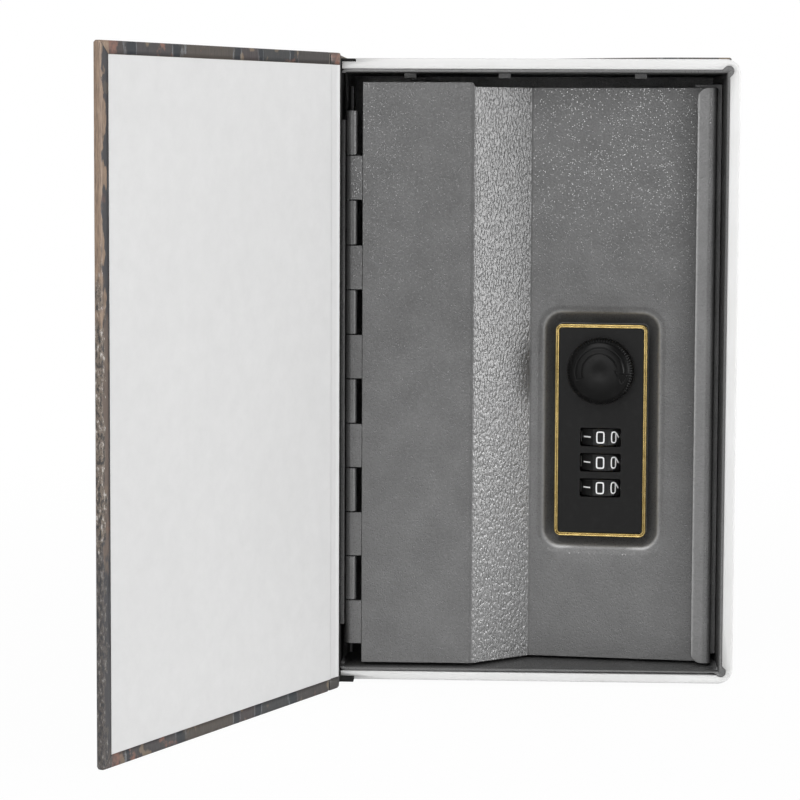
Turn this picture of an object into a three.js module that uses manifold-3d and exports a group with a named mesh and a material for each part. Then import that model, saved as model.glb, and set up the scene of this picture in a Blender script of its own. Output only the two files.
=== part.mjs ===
// A book diversion safe: a small steel safe inside the hollow page block of a hardback book.
// Millimetres, +Z up. While it is built, X runs from the spine to the fore edge, Y from the
// front cover to the back cover and Z up from the board edges that the book stands on; X = 0 is
// the spine end of the page block and Y = 0 its front rim. The finished book is then moved so
// that the origin is the centre of its footprint.

import * as THREE from 'three';
import { mergeVertices } from 'three/addons/utils/BufferGeometryUtils.js';
import Module from 'manifold-3d';

const wasm = await Module();
wasm.setup();

// Driving dimensions of the book
const BOOK_HEIGHT = 180;
const PAGE_WIDTH = 112;
const PAGE_DEPTH = 49.5;
const RIM = 3;
const HEAD_SQUARE = 1.25;
const FORE_SQUARE = 1.5;
const PAGE_CORNER = 4.2;
const BOARD = 1.5;
const WRAP = 0.3;
const PAPER = 0.25;
const GLUE = 0.1;
const TURN_IN = 3.3;

// Driving dimensions of the front cover's hinge line
const COVER_ANGLE = THREE.MathUtils.degToRad(117.8);
const COVER_LINE_X = -0.5;
const COVER_LINE_Y = -2.9;
const COVER_CLEARANCE = 0.8;
const JOINT_WIDTH = 8;
const PASTEDOWN_START = 3.2;

// Driving dimensions of the steel safe
const STEEL = 1;
const BOX_SETBACK = 0.3;
const BOX_OVERHANG = 0.2;
const PIN_RADIUS = 0.7;
const KNUCKLE_RADIUS = 1.6;
const KNUCKLE_PLAY = 0.08;
const KNUCKLES = 12;
const DOOR_PLANE = 2.4;
const PANEL_ANGLE = THREE.MathUtils.degToRad(6.5);

// Driving dimensions of the lock
const PLATE_WIDTH = 26.5;
const PLATE_HEIGHT = 61.6;
const PLATE_THICK = 1.75;
const KNOB_RADIUS = 9.25;
const KNOB_HEIGHT = 5.9;
const WHEELS = 3;
const WHEEL_APOTHEM = 6.4;
const WHEEL_THICK = 4.8;
const WHEEL_PITCH = 7.35;
const WHEEL_FACETS = 10;
const WHEEL_PROUD = 0.5;
const AXLE_RADIUS = 1.5;
const AXLE_PLAY = 0.08;
const SPINDLE_RADIUS = 3;
const CAM_LENGTH = 31;
const CAM_THICK = 2;

// Clearances, one overrun for every cut, and the steps of a round
const SEAT = 0.25;
const RUNNING = 0.3;
const LOOSE = 0.6;
const CUT = 1;
const ROUND_STEPS = 16;
const FINE_STEPS = 24;
const FINEST_STEPS = 48;
const SHARPEST_MITRE_SHARE = 0.5;
const HALF_TURN = Math.PI;
const QUARTER_TURN = Math.PI / 2;

// Finishes
const finish = (color, roughness, metalness = 0) =>
  new THREE.MeshStandardMaterial({ color, roughness, metalness });
const GREY_PAINT = finish(0x7a7b7d, 0.4, 0.2);
const STRONG_STEEL = finish(0xa8a8a6, 0.35, 0.9);
const BLACK_PLASTIC = finish(0x202020, 0.45);
const GOLD_TRIM = finish(0xc4a050, 0.3, 0.9);
const WHITE_PLASTIC = finish(0xf0f0ee, 0.5);
const COVER_PAPER = finish(0x5d5048, 0.55);
const PLAIN_PAPER = finish(0xe2e2e2, 0.8);
const GREY_BOARD = finish(0x9a8f80, 0.9);
const BLACK_CLOTH = finish(0x1a1a1a, 0.9);
const BRASS = finish(0xb59a58, 0.35, 0.8);

// Solids: closed geometry goes through a boolean library and comes back as geometry.
function solid(geometry) {
  const bare = geometry.index ? geometry.clone() : mergeVertices(geometry.clone());
  bare.deleteAttribute('normal');
  bare.deleteAttribute('uv');
  const merged = mergeVertices(bare);
  return new wasm.Manifold(new wasm.Mesh({
    numProp: 3,
    vertProperties: new Float32Array(merged.attributes.position.array),
    triVerts: new Uint32Array(merged.index.array),
  }));
}

function geometryOf(manifold) {
  const mesh = manifold.getMesh();
  const geometry = new THREE.BufferGeometry();
  geometry.setAttribute('position', new THREE.BufferAttribute(mesh.vertProperties, 3));
  geometry.setIndex(new THREE.BufferAttribute(mesh.triVerts, 1));
  geometry.computeVertexNormals();
  return geometry;
}

function piece(name, shape, material, parent) {
  const geometry = shape instanceof THREE.BufferGeometry ? shape : geometryOf(shape);
  const mesh = new THREE.Mesh(geometry, material);
  mesh.name = name;
  parent.add(mesh);
  return mesh;
}

// A box between two corners.
function block(x0, x1, y0, y1, z0, z1) {
  const geometry = new THREE.BoxGeometry(x1 - x0, y1 - y0, z1 - z0);
  geometry.translate((x0 + x1) / 2, (y0 + y1) / 2, (z0 + z1) / 2);
  return geometry;
}

// An outline in plan, [x, y] points, raised from z0 to z1.
function prism(points, z0, z1) {
  const shape = new THREE.Shape(points.map(([x, y]) => new THREE.Vector2(x, y)));
  const geometry = new THREE.ExtrudeGeometry(shape, { depth: z1 - z0, bevelEnabled: false });
  geometry.translate(0, 0, z0);
  return geometry;
}

// A shape drawn in X and Z, pushed along Y from y0 to y1.
function frontal(shape, y0, y1) {
  const geometry = new THREE.ExtrudeGeometry(shape, {
    depth: y1 - y0, bevelEnabled: false, curveSegments: ROUND_STEPS / 4,
  });
  geometry.rotateX(QUARTER_TURN);
  geometry.translate(0, y1, 0);
  return geometry;
}

function roundedShape(x0, x1, z0, z1, radius) {
  const shape = new THREE.Shape();
  shape.moveTo(x0 + radius, z0);
  shape.lineTo(x1 - radius, z0);
  shape.absarc(x1 - radius, z0 + radius, radius, -QUARTER_TURN, 0);
  shape.lineTo(x1, z1 - radius);
  shape.absarc(x1 - radius, z1 - radius, radius, 0, QUARTER_TURN);
  shape.lineTo(x0 + radius, z1);
  shape.absarc(x0 + radius, z1 - radius, radius, QUARTER_TURN, HALF_TURN);
  shape.lineTo(x0, z0 + radius);
  shape.absarc(x0 + radius, z0 + radius, radius, HALF_TURN, HALF_TURN + QUARTER_TURN);
  return shape;
}

// Round bars: upright along Z, or lying along Y.
function upright(radius, x, y, z0, z1, sides = ROUND_STEPS) {
  const geometry = new THREE.CylinderGeometry(radius, radius, z1 - z0, sides);
  geometry.rotateX(QUARTER_TURN);
  geometry.translate(x, y, (z0 + z1) / 2);
  return geometry;
}

function across(radius, x, z, y0, y1, sides = ROUND_STEPS) {
  const geometry = new THREE.CylinderGeometry(radius, radius, y1 - y0, sides);
  geometry.translate(x, (y0 + y1) / 2, z);
  return geometry;
}

// A bent sheet: a centre line in plan, thickened to both sides.
function sheet(path, thickness) {
  const left = [];
  const right = [];
  const line = path.map(([x, y]) => new THREE.Vector2(x, y));
  line.forEach((point, i) => {
    const before = line[Math.max(i - 1, 0)];
    const after = line[Math.min(i + 1, line.length - 1)];
    const entry = (i > 0 ? point.clone().sub(before) : after.clone().sub(point)).normalize();
    const exit = (i < line.length - 1 ? after.clone().sub(point) : entry.clone()).normalize();
    const middle = entry.clone().add(exit).normalize();
    const reach = thickness / 2 / Math.max(middle.dot(entry), SHARPEST_MITRE_SHARE);
    left.push([point.x - middle.y * reach, point.y + middle.x * reach]);
    right.push([point.x + middle.y * reach, point.y - middle.x * reach]);
  });
  return [...right, ...left.reverse()];
}

// Places that several pieces share
const COVER_THICK = BOARD + PAPER + WRAP + 2 * GLUE;
const PAGE_BOTTOM = HEAD_SQUARE;
const PAGE_TOP = BOOK_HEIGHT - HEAD_SQUARE;
const BOX_RIGHT = PAGE_WIDTH - RIM - GLUE;
const BOX_LEFT = -BOX_OVERHANG;
const BOX_BOTTOM = PAGE_BOTTOM + RIM + GLUE;
const BOX_TOP = PAGE_TOP - RIM - GLUE;
const BOX_BACK = PAGE_DEPTH - BOX_SETBACK;
const INNER_LEFT = BOX_LEFT + STEEL;
const INNER_RIGHT = BOX_RIGHT - STEEL;
const INNER_BOTTOM = BOX_BOTTOM + STEEL;
const INNER_TOP = BOX_TOP - STEEL;
const BACK_INNER = PAGE_DEPTH + GLUE;
const BACK_OUTER = BACK_INNER + COVER_THICK;
const FRONT_INNER = -COVER_CLEARANCE;
const LINING_OUTER = BOX_LEFT - GLUE - PAPER;
const SPINE_OUTER = LINING_OUTER - GLUE - BOARD - GLUE - WRAP;

const book = new THREE.Group();
const cover = new THREE.Group();
cover.position.set(COVER_LINE_X, COVER_LINE_Y, 0);
cover.rotation.z = -COVER_ANGLE;
book.add(cover);

// A case side: grey board in a paper wrap that turns in over three edges, lined with paper.
// It lies with its inside at inner, its outside towards side (+1 or -1) along Y.
function caseSide(prefix, parent, { hinge, fore, inner, side, liningName, liningStart, wrapStart }) {
  const level = (depth) => inner + side * depth;
  const span = (near, far) => [Math.min(level(near), level(far)), Math.max(level(near), level(far))];
  const boardNear = PAPER + GLUE;
  const boardFar = boardNear + BOARD;
  const boardTop = BOOK_HEIGHT - WRAP - GLUE;
  const foreInside = fore - WRAP - GLUE;
  const pasteTop = BOOK_HEIGHT - TURN_IN - GLUE;
  piece(`${prefix}_board`, block(hinge, foreInside, ...span(boardNear, boardFar), WRAP + GLUE, boardTop),
    GREY_BOARD, parent);
  const skin = solid(block(wrapStart, fore, ...span(0, COVER_THICK), 0, BOOK_HEIGHT));
  const pocket = solid(block(wrapStart - CUT, foreInside + GLUE, ...span(PAPER, boardFar + GLUE),
    WRAP, BOOK_HEIGHT - WRAP));
  const window = solid(block(wrapStart - CUT, fore - TURN_IN, ...span(-CUT, boardNear),
    TURN_IN, BOOK_HEIGHT - TURN_IN));
  piece(`${prefix}_wrap`, skin.subtract(pocket).subtract(window), COVER_PAPER, parent);
  piece(liningName, block(liningStart, fore - TURN_IN - GLUE, ...span(0, PAPER), TURN_IN + GLUE, pasteTop),
    PLAIN_PAPER, parent);
}

// Front cover, in its own frame: X along the board from the hinge line, Y towards the pages.
const COVER_INNER = FRONT_INNER - COVER_LINE_Y;
const COVER_REACH = PAGE_WIDTH + FORE_SQUARE - COVER_LINE_X;
caseSide('front', cover, {
  hinge: JOINT_WIDTH,
  fore: COVER_REACH,
  inner: COVER_INNER,
  side: -1,
  liningName: 'front_endpaper',
  liningStart: PASTEDOWN_START,
  wrapStart: JOINT_WIDTH,
});

// Back cover, fixed behind the page block
const BACK_HINGE = COVER_LINE_X + JOINT_WIDTH;
caseSide('back', book, {
  hinge: BACK_HINGE,
  fore: PAGE_WIDTH + FORE_SQUARE,
  inner: BACK_INNER,
  side: 1,
  liningName: 'back_endpaper',
  liningStart: SEAT,
  wrapStart: BACK_HINGE,
});

// Spine: a board in a paper wrap, closed round its two ends, and a strip to the back cover
const SPINE_FRONT = FRONT_INNER - SEAT;
const SPINE_BOARD_OUTER = SPINE_OUTER + WRAP + GLUE;
piece('spine_board', block(SPINE_BOARD_OUTER, SPINE_BOARD_OUTER + BOARD, SPINE_FRONT + WRAP + GLUE,
  BACK_OUTER - WRAP - GLUE, WRAP + GLUE, BOOK_HEIGHT - WRAP - GLUE), GREY_BOARD, book);
const spineSkin = solid(block(SPINE_OUTER, SPINE_BOARD_OUTER + BOARD, SPINE_FRONT, BACK_OUTER,
  0, BOOK_HEIGHT));
const spinePocket = solid(block(SPINE_OUTER + WRAP, SPINE_BOARD_OUTER + BOARD + CUT,
  SPINE_FRONT + WRAP, BACK_OUTER - WRAP, WRAP, BOOK_HEIGHT - WRAP));
piece('spine_wrap', spineSkin.subtract(spinePocket), COVER_PAPER, book);
piece('back_joint_strip', block(SPINE_BOARD_OUTER + BOARD + GLUE, BACK_HINGE - GLUE,
  BACK_INNER + PAPER + GLUE, BACK_INNER + PAPER + GLUE + WRAP + PAPER, WRAP, BOOK_HEIGHT - WRAP),
COVER_PAPER, book);

// The flexible strip between the front cover and the spine, drawn as it lies with the cover open.
// Its points on the cover are [distance from the hinge line, depth below the cover's inside].
const STRIP_THICK = WRAP + PAPER;
const STRIP_NEAR = PAPER + GLUE;
const STRIP_FOLD = 0.35;
function onCover(along, below) {
  const place = new THREE.Vector2(along, COVER_INNER - below);
  place.rotateAround(new THREE.Vector2(), -COVER_ANGLE);
  return [place.x + COVER_LINE_X, place.y + COVER_LINE_Y];
}
const stripOuter = [
  onCover(JOINT_WIDTH - GLUE, STRIP_NEAR + STRIP_THICK),
  onCover(PASTEDOWN_START, STRIP_NEAR + STRIP_THICK),
  [COVER_LINE_X - STRIP_FOLD, COVER_LINE_Y],
  [LINING_OUTER - GLUE - BOARD, SPINE_FRONT - GLUE - STRIP_THICK],
  [LINING_OUTER - GLUE - BOARD, SPINE_FRONT - GLUE],
];
const stripInner = [
  [LINING_OUTER - GLUE, SPINE_FRONT - GLUE],
  [LINING_OUTER - GLUE, FRONT_INNER / 2],
  [LINING_OUTER + PAPER, FRONT_INNER / 2],
  [COVER_LINE_X + STRIP_FOLD, COVER_LINE_Y],
  onCover(PASTEDOWN_START, STRIP_NEAR),
  onCover(JOINT_WIDTH - GLUE, STRIP_NEAR),
];
piece('front_joint_strip', prism([...stripOuter, ...stripInner], TURN_IN / 2, BOOK_HEIGHT - TURN_IN / 2),
  BLACK_CLOTH, book);

// Spine lining: black cloth behind the spine board, lapped over the two ends of the page block
const LAP = 3.6;
const LAP_THICK = 0.8;
const LAP_STEP = 1;
const liningBottom = PAGE_BOTTOM + LAP_STEP - GLUE - LAP_THICK;
const liningTop = PAGE_TOP - LAP_STEP + GLUE + LAP_THICK;
const liningBlock = solid(block(LINING_OUTER, LAP, BOX_SETBACK, BOX_BACK, liningBottom, liningTop));
const liningInside = solid(block(LINING_OUTER + PAPER, LAP + CUT, -CUT, PAGE_DEPTH + CUT,
  liningBottom + LAP_THICK, liningTop - LAP_THICK));
piece('spine_lining', liningBlock.subtract(liningInside), BLACK_CLOTH, book);

// Page block: one moulded channel with its open side at the spine
const CORNER_TAB_WIDTH = 3;
const CORNER_TAB_REACH = 0.9;
const CORNER_TAB_DEPTH = 2;
const BOX_ROUND = 1.2;
function cornerTab(z, turn, play, y0, y1) {
  const half = CORNER_TAB_WIDTH / 2 + play;
  const roundAt = 2 * CORNER_TAB_REACH + play - half;
  const tab = solid(block(-STEEL - CORNER_TAB_REACH, roundAt, y0, y1, -half, half))
    .add(solid(across(half, roundAt, 0, y0, y1)));
  const turned = geometryOf(tab);
  turned.rotateY(-turn * QUARTER_TURN / 2);
  turned.translate(BOX_RIGHT - STEEL / 2, 0, z - turn * STEEL / 2);
  return solid(turned);
}
const pageOuter = roundedShape(-PAGE_CORNER, PAGE_WIDTH, PAGE_BOTTOM, PAGE_TOP, PAGE_CORNER);
const pageInner = roundedShape(-2 * PAGE_CORNER, PAGE_WIDTH - RIM, PAGE_BOTTOM + RIM, PAGE_TOP - RIM,
  BOX_ROUND);
let pages = solid(frontal(pageOuter, 0, PAGE_DEPTH))
  .subtract(solid(frontal(pageInner, -CUT, PAGE_DEPTH + CUT)))
  .subtract(solid(block(-2 * PAGE_CORNER, 0, -CUT, PAGE_DEPTH + CUT, 0, BOOK_HEIGHT)));
for (const [z0, z1] of [[0, PAGE_BOTTOM + LAP_STEP], [PAGE_TOP - LAP_STEP, BOOK_HEIGHT]]) {
  pages = pages.subtract(solid(block(-CUT, LAP + SEAT, -CUT, PAGE_DEPTH + CUT, z0, z1)));
}
for (const [z, turn] of [[BOX_TOP, 1], [BOX_BOTTOM, -1]]) {
  pages = pages.subtract(cornerTab(z, turn, GLUE, -CUT, BOX_SETBACK + CORNER_TAB_DEPTH + GLUE));
}
piece('page_block', pages, WHITE_PLASTIC, book);

// Piano hinge places
const LEAF_GAP = 0.2;
const PIN_X = INNER_LEFT + LEAF_GAP + KNUCKLE_RADIUS;
const PIN_Y = DOOR_PLANE + KNUCKLE_RADIUS;
const HINGE_FOOT = 5.7;
const HINGE_HEAD = 10.5;
const hingeBottom = INNER_BOTTOM + HINGE_FOOT;
const knuckleStep = (INNER_TOP - HINGE_HEAD - hingeBottom) / KNUCKLES;
const knuckleSpan = (i) => [
  hingeBottom + i * knuckleStep + RUNNING / 2,
  hingeBottom + (i + 1) * knuckleStep - RUNNING / 2,
];
const doorKnuckles = Array.from({ length: KNUCKLES / 2 }, (_, i) => 2 * i);
const boxKnuckles = doorKnuckles.map((i) => i + 1);
const pinHole = (z0, z1) => solid(upright(PIN_RADIUS + KNUCKLE_PLAY, PIN_X, PIN_Y, z0, z1));
const knuckle = ([z0, z1]) => solid(upright(KNUCKLE_RADIUS, PIN_X, PIN_Y, z0, z1, FINE_STEPS));

// Steel box: four walls and a back, its front open
const WALL_NOTCH = 6;
const WALL_NOTCH_DEPTH = 4;
const WALL_FRONT = 1;
const LANCE_WIDTH = 3.4;
const LANCE_DROP = 1.3;
const LANCE_SETBACK = 6;
const LANCE_PLACE_SHARES = [0.17, 0.42, 0.78];
const boxShape = roundedShape(BOX_LEFT, BOX_RIGHT, BOX_BOTTOM, BOX_TOP, BOX_ROUND);
let box = solid(frontal(boxShape, BOX_SETBACK, BOX_BACK))
  .subtract(solid(block(INNER_LEFT, INNER_RIGHT, -CUT, BOX_BACK - STEEL, INNER_BOTTOM, INNER_TOP)))
  .subtract(solid(block(BOX_LEFT - CUT, INNER_LEFT + CUT, -CUT, WALL_FRONT, INNER_BOTTOM, INNER_TOP)));
for (const [z0, z1] of [[INNER_BOTTOM, hingeBottom + WALL_NOTCH], [INNER_TOP - HINGE_HEAD, INNER_TOP]]) {
  box = box.subtract(solid(block(BOX_LEFT - CUT, INNER_LEFT + CUT, -CUT, WALL_NOTCH_DEPTH, z0, z1)));
}
for (const [z, turn] of [[BOX_TOP, 1], [BOX_BOTTOM, -1]]) {
  box = box.add(cornerTab(z, turn, 0, BOX_SETBACK, BOX_SETBACK + CORNER_TAB_DEPTH));
}
for (const share of LANCE_PLACE_SHARES) {
  const x = INNER_LEFT + share * (INNER_RIGHT - INNER_LEFT);
  box = box.add(solid(block(x - LANCE_WIDTH / 2, x + LANCE_WIDTH / 2, LANCE_SETBACK, LANCE_SETBACK + STEEL,
    INNER_TOP - LANCE_DROP, BOX_TOP - STEEL / 2)));
}
piece('safe_box', box, GREY_PAINT, book);

// Hinge leaf on the box's spine wall
const LEAF_DEPTH = 12;
const leafBottom = knuckleSpan(0)[0];
const leafTop = knuckleSpan(KNUCKLES - 1)[1];
const leafLeft = PIN_X - KNUCKLE_RADIUS;
let leaf = solid(block(leafLeft, leafLeft + STEEL, PIN_Y + KNUCKLE_RADIUS + RUNNING,
  PIN_Y + KNUCKLE_RADIUS + LEAF_DEPTH, leafBottom, leafTop));
for (const i of boxKnuckles) {
  const [z0, z1] = knuckleSpan(i);
  leaf = leaf
    .add(solid(block(leafLeft, leafLeft + STEEL, PIN_Y, PIN_Y + KNUCKLE_RADIUS + LOOSE, z0, z1)))
    .add(knuckle([z0, z1]));
}
leaf = leaf.subtract(pinHole(leafBottom - CUT, leafTop + CUT));
piece('hinge_leaf', leaf, GREY_PAINT, book);

const PIN_DROP = 2.6;
const PIN_RISE = 6.9;
piece('hinge_pin', upright(PIN_RADIUS, PIN_X, PIN_Y, hingeBottom - PIN_DROP, leafTop + PIN_RISE),
  STRONG_STEEL, book);

// Door: one bent sheet. The flat by the hinge, a slanted step down to the lock panel, and a hem.
const door = new THREE.Group();
book.add(door);
const DOOR_EDGE_GAP = 1.5;
const DOOR_NECK = 1.5;
const DOOR_BOTTOM_GAP = 0.4;
const DOOR_TOP_GAP = 2.55;
const PANEL_STEP_DOWN = 1.2;
const LOCK_PANEL_SPAN = 50.7;
const STEP_RUN = 16.6;
const STEP_DEPTH = 12.8;
const HEM_WIDTH = 5;
const HEM_GAP = 2;
const HEM_CORNER = 3;
const HEM_STEPS = 8;
const doorBottom = INNER_BOTTOM + DOOR_BOTTOM_GAP;
const doorTop = INNER_TOP - DOOR_TOP_GAP;
const panelTop = doorTop - PANEL_STEP_DOWN;
const doorRight = INNER_RIGHT - DOOR_EDGE_GAP;
const doorLeft = PIN_X + KNUCKLE_RADIUS + DOOR_NECK;
const sheetMiddle = DOOR_PLANE + STEEL / 2;
const hemRadius = (HEM_GAP + STEEL) / 2;
const stepFoot = [doorRight - hemRadius - STEEL / 2 - LOCK_PANEL_SPAN, sheetMiddle + STEP_DEPTH];
const stepTop = [stepFoot[0] - STEP_RUN, sheetMiddle];
const panelRun = LOCK_PANEL_SPAN / Math.cos(PANEL_ANGLE);
const alongPanel = (run, forward) => [
  stepFoot[0] + run * Math.cos(PANEL_ANGLE) - forward * Math.sin(PANEL_ANGLE),
  stepFoot[1] - run * Math.sin(PANEL_ANGLE) - forward * Math.cos(PANEL_ANGLE),
];
const hemArc = Array.from({ length: HEM_STEPS + 1 }, (_, i) => {
  const turn = -QUARTER_TURN + (i * HALF_TURN) / HEM_STEPS;
  return alongPanel(panelRun + hemRadius * Math.cos(turn), hemRadius + hemRadius * Math.sin(turn));
});
const hemEnd = alongPanel(panelRun + hemRadius - HEM_WIDTH, 2 * hemRadius);
const doorPath = [[doorLeft, sheetMiddle], stepTop, stepFoot, ...hemArc, hemEnd];
let panel = solid(prism(sheet(doorPath, STEEL), doorBottom, panelTop))
  .add(solid(block(doorLeft, stepTop[0], DOOR_PLANE, DOOR_PLANE + STEEL, panelTop - CUT, doorTop)));

// The lock sits square to the lock panel, so its pieces have a turned frame of their own:
// X along the panel, Y into the safe from the panel's front and Z up, from the plate's centre.
const LOCK_ALONG_SHARE = 0.437;
const LOCK_HEIGHT_SHARE = 0.4;
const freePanel = panelRun + hemRadius - HEM_WIDTH;
const lockAlong = LOCK_ALONG_SHARE * freePanel;
const lock = new THREE.Group();
const [lockX, lockY] = alongPanel(lockAlong, STEEL / 2);
lock.position.set(lockX, lockY, doorBottom + LOCK_HEIGHT_SHARE * (doorTop - doorBottom));
lock.rotation.z = -PANEL_ANGLE;
door.add(lock);
lock.updateMatrix();
const inLock = (geometry) => solid(geometry.applyMatrix4(lock.matrix));

// Depths and heights in the lock's frame
const RECESS_DEPTH = 0.8;
const RECESS_MARGIN = 3.3;
const RECESS_CORNER = 3;
const KNOB_FROM_TOP = 13.3;
const FIRST_WHEEL_DROP = 19.4;
const TRIM_WIDTH = 1.1;
const TRIM_PROUD = 0.3;
const PLATE_CORNER = 1.9;
const halfPlateWidth = PLATE_WIDTH / 2;
const halfPlateHeight = PLATE_HEIGHT / 2;
const knobRise = halfPlateHeight - KNOB_FROM_TOP;
const plateBack = RECESS_DEPTH - SEAT;
const plateFront = plateBack - PLATE_THICK;
const floorBack = RECESS_DEPTH + STEEL;
const wheelTip = WHEEL_APOTHEM / Math.cos(HALF_TURN / WHEEL_FACETS);
const wheelDepth = plateFront - WHEEL_PROUD + WHEEL_APOTHEM;
const wheelHeight = (i) => knobRise - FIRST_WHEEL_DROP - i * WHEEL_PITCH;
const windowHalf = Math.sqrt(wheelTip ** 2 - (wheelDepth - plateBack) ** 2) + LOOSE;
const shellFront = floorBack + SEAT;
const chamberBack = wheelDepth + wheelTip + LOOSE;
const SHELL_BACK_WALL = 1;
const shellBack = chamberBack + SHELL_BACK_WALL;

// Door panel: the pressed recess round the lock, its openings, and the hinge knuckles
const recessHalfWidth = halfPlateWidth + RECESS_MARGIN;
const recessHalfHeight = halfPlateHeight + RECESS_MARGIN;
const pressedShape = (extra) => roundedShape(-recessHalfWidth - extra, recessHalfWidth + extra,
  -recessHalfHeight - extra, recessHalfHeight + extra, RECESS_CORNER + extra);
const pressed = (extra, y0, y1) => inLock(frontal(pressedShape(extra), y0, y1));
const SCREW_RADIUS = 1.2;
const SCREW_INSET = 4;
const screwX = halfPlateWidth - SCREW_INSET;
const screwZ = halfPlateHeight - SCREW_INSET;
const screwPlaces = [[-screwX, -screwZ], [screwX, -screwZ], [-screwX, screwZ], [screwX, screwZ]];
const wheelCutHalf = wheelTip + LOOSE;
const wheelTop = wheelHeight(0) + WHEEL_PITCH / 2 + RUNNING;
const wheelBottom = wheelHeight(WHEELS - 1) - WHEEL_PITCH / 2 - RUNNING;
panel = panel
  .add(pressed(STEEL, STEEL / 2, floorBack))
  .subtract(pressed(0, -CUT, RECESS_DEPTH))
  .subtract(inLock(block(-wheelCutHalf, wheelCutHalf, 0, floorBack + CUT, wheelBottom, wheelTop)))
  .subtract(inLock(across(SPINDLE_RADIUS + LOOSE, 0, knobRise, 0, floorBack + CUT)));
for (const [x, z] of screwPlaces) {
  panel = panel.subtract(inLock(across(SCREW_RADIUS + RUNNING, x, z, 0, floorBack + CUT)));
}
for (const i of doorKnuckles) {
  const [z0, z1] = knuckleSpan(i);
  panel = panel
    .add(solid(block(PIN_X, doorLeft + STEEL, DOOR_PLANE, DOOR_PLANE + STEEL, z0, z1)))
    .add(knuckle([z0, z1]));
}
panel = panel.subtract(pinHole(doorBottom, doorTop));
const [hemX, hemY] = hemEnd;
for (const [z, up] of [[doorBottom, 1], [panelTop, -1]]) {
  const ends = [z - up * CUT, z + up * HEM_CORNER].sort((a, b) => a - b);
  const corner = solid(block(hemX - CUT, hemX + HEM_CORNER, hemY - STEEL, hemY + STEEL, ...ends));
  const round = across(HEM_CORNER, hemX + HEM_CORNER, z + up * HEM_CORNER, hemY - 2 * STEEL,
    hemY + 2 * STEEL, FINE_STEPS);
  panel = panel.subtract(corner.subtract(solid(round)));
}
piece('door_panel', panel, GREY_PAINT, door);

// Door stop: an angle up the fore-edge wall that the closed door rests against
const STOP_WIDTH = 8;
const STOP_FOOT = 6.5;
const STOP_TOP_GAP = 2.75;
const STOP_BOTTOM_GAP = 2.35;
const stopLeft = INNER_RIGHT - STOP_WIDTH;
const panelBackAt = (x) =>
  stepFoot[1] - (x - stepFoot[0]) * Math.tan(PANEL_ANGLE) + STEEL / 2 / Math.cos(PANEL_ANGLE);
const stopFront = panelBackAt(stopLeft) + RUNNING;
const angle = (left, right, front, foot) => [
  [left, front], [right, front], [right, front + STEEL + foot], [right - STEEL, front + STEEL + foot],
  [right - STEEL, front + STEEL], [left, front + STEEL],
];
piece('door_stop', prism(angle(stopLeft, INNER_RIGHT - GLUE, stopFront, STOP_FOOT),
  INNER_BOTTOM + STOP_BOTTOM_GAP, INNER_TOP - STOP_TOP_GAP), GREY_PAINT, book);

// Lock body
const plateShape = (inset) => roundedShape(inset - halfPlateWidth, halfPlateWidth - inset,
  inset - halfPlateHeight, halfPlateHeight - inset, PLATE_CORNER - inset / 2);
const bezel = solid(frontal(plateShape(0), plateFront - TRIM_PROUD, plateBack))
  .subtract(solid(frontal(plateShape(TRIM_WIDTH), plateFront - TRIM_PROUD - CUT, plateBack + CUT)));
piece('lock_bezel', bezel, GOLD_TRIM, lock);

let face = solid(frontal(plateShape(TRIM_WIDTH + GLUE), plateFront, plateBack));
for (let i = 0; i < WHEELS; i += 1) {
  const reach = WHEEL_THICK / 2 + RUNNING;
  const window = roundedShape(-windowHalf, windowHalf, wheelHeight(i) - reach, wheelHeight(i) + reach,
    LOOSE);
  face = face.subtract(solid(frontal(window, plateFront - CUT, plateBack + CUT)));
}
face = face.subtract(solid(across(SPINDLE_RADIUS + RUNNING, 0, knobRise, plateFront - CUT,
  plateBack + CUT)));
for (const [x, z] of screwPlaces) {
  face = face.subtract(solid(across(SCREW_RADIUS + GLUE, x, z, plateFront + PLATE_THICK / 2,
    plateBack + CUT)));
}
piece('lock_faceplate', face, BLACK_PLASTIC, lock);

const FENCE_THICK = 1;
const FENCE_DEPTH = 2.4;
const FENCE_RISE = 1.2;
const SLEEVE_RADIUS = 3.4;
const fenceInner = wheelTip + RUNNING;
const fenceOuter = fenceInner + FENCE_THICK;
const fenceTop = wheelTop + FENCE_RISE;
const fenceBottom = wheelHeight(WHEELS - 1) - WHEEL_PITCH / 2 - FENCE_THICK / 2;
const shellHalfWidth = halfPlateWidth - 2 * TRIM_WIDTH;
const shellHalfHeight = halfPlateHeight - 2 * TRIM_WIDTH;
const slotHalf = AXLE_RADIUS + GLUE;
const axleReach = WHEEL_THICK / 2;
let shell = solid(block(-shellHalfWidth, shellHalfWidth, shellFront, shellBack, -shellHalfHeight,
  shellHalfHeight))
  .subtract(solid(block(-wheelTip - LOOSE, fenceOuter + RUNNING, shellFront - CUT, chamberBack,
    fenceBottom - RUNNING, fenceTop + RUNNING)))
  .subtract(solid(block(-slotHalf, slotHalf, shellFront - CUT, wheelDepth + slotHalf,
    fenceBottom - axleReach - RUNNING, fenceTop + axleReach + RUNNING)))
  .subtract(solid(across(SPINDLE_RADIUS + RUNNING, 0, knobRise, shellFront - CUT, shellBack + CUT)));
for (const [x, z] of screwPlaces) {
  shell = shell.subtract(solid(across(SCREW_RADIUS + GLUE, x, z, shellFront - CUT, shellBack + CUT)));
}
const LEVER_PIVOT = 1;
const LEVER_FROM_FOOT = 8.8;
const LEVER_SINK = 0.6;
const leverRise = LEVER_FROM_FOOT - halfPlateHeight;
shell = shell.subtract(solid(across(LEVER_PIVOT + GLUE, 0, leverRise, shellBack - LEVER_SINK - GLUE,
  shellBack + CUT)));
piece('lock_housing', shell, BLACK_PLASTIC, lock);

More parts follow.
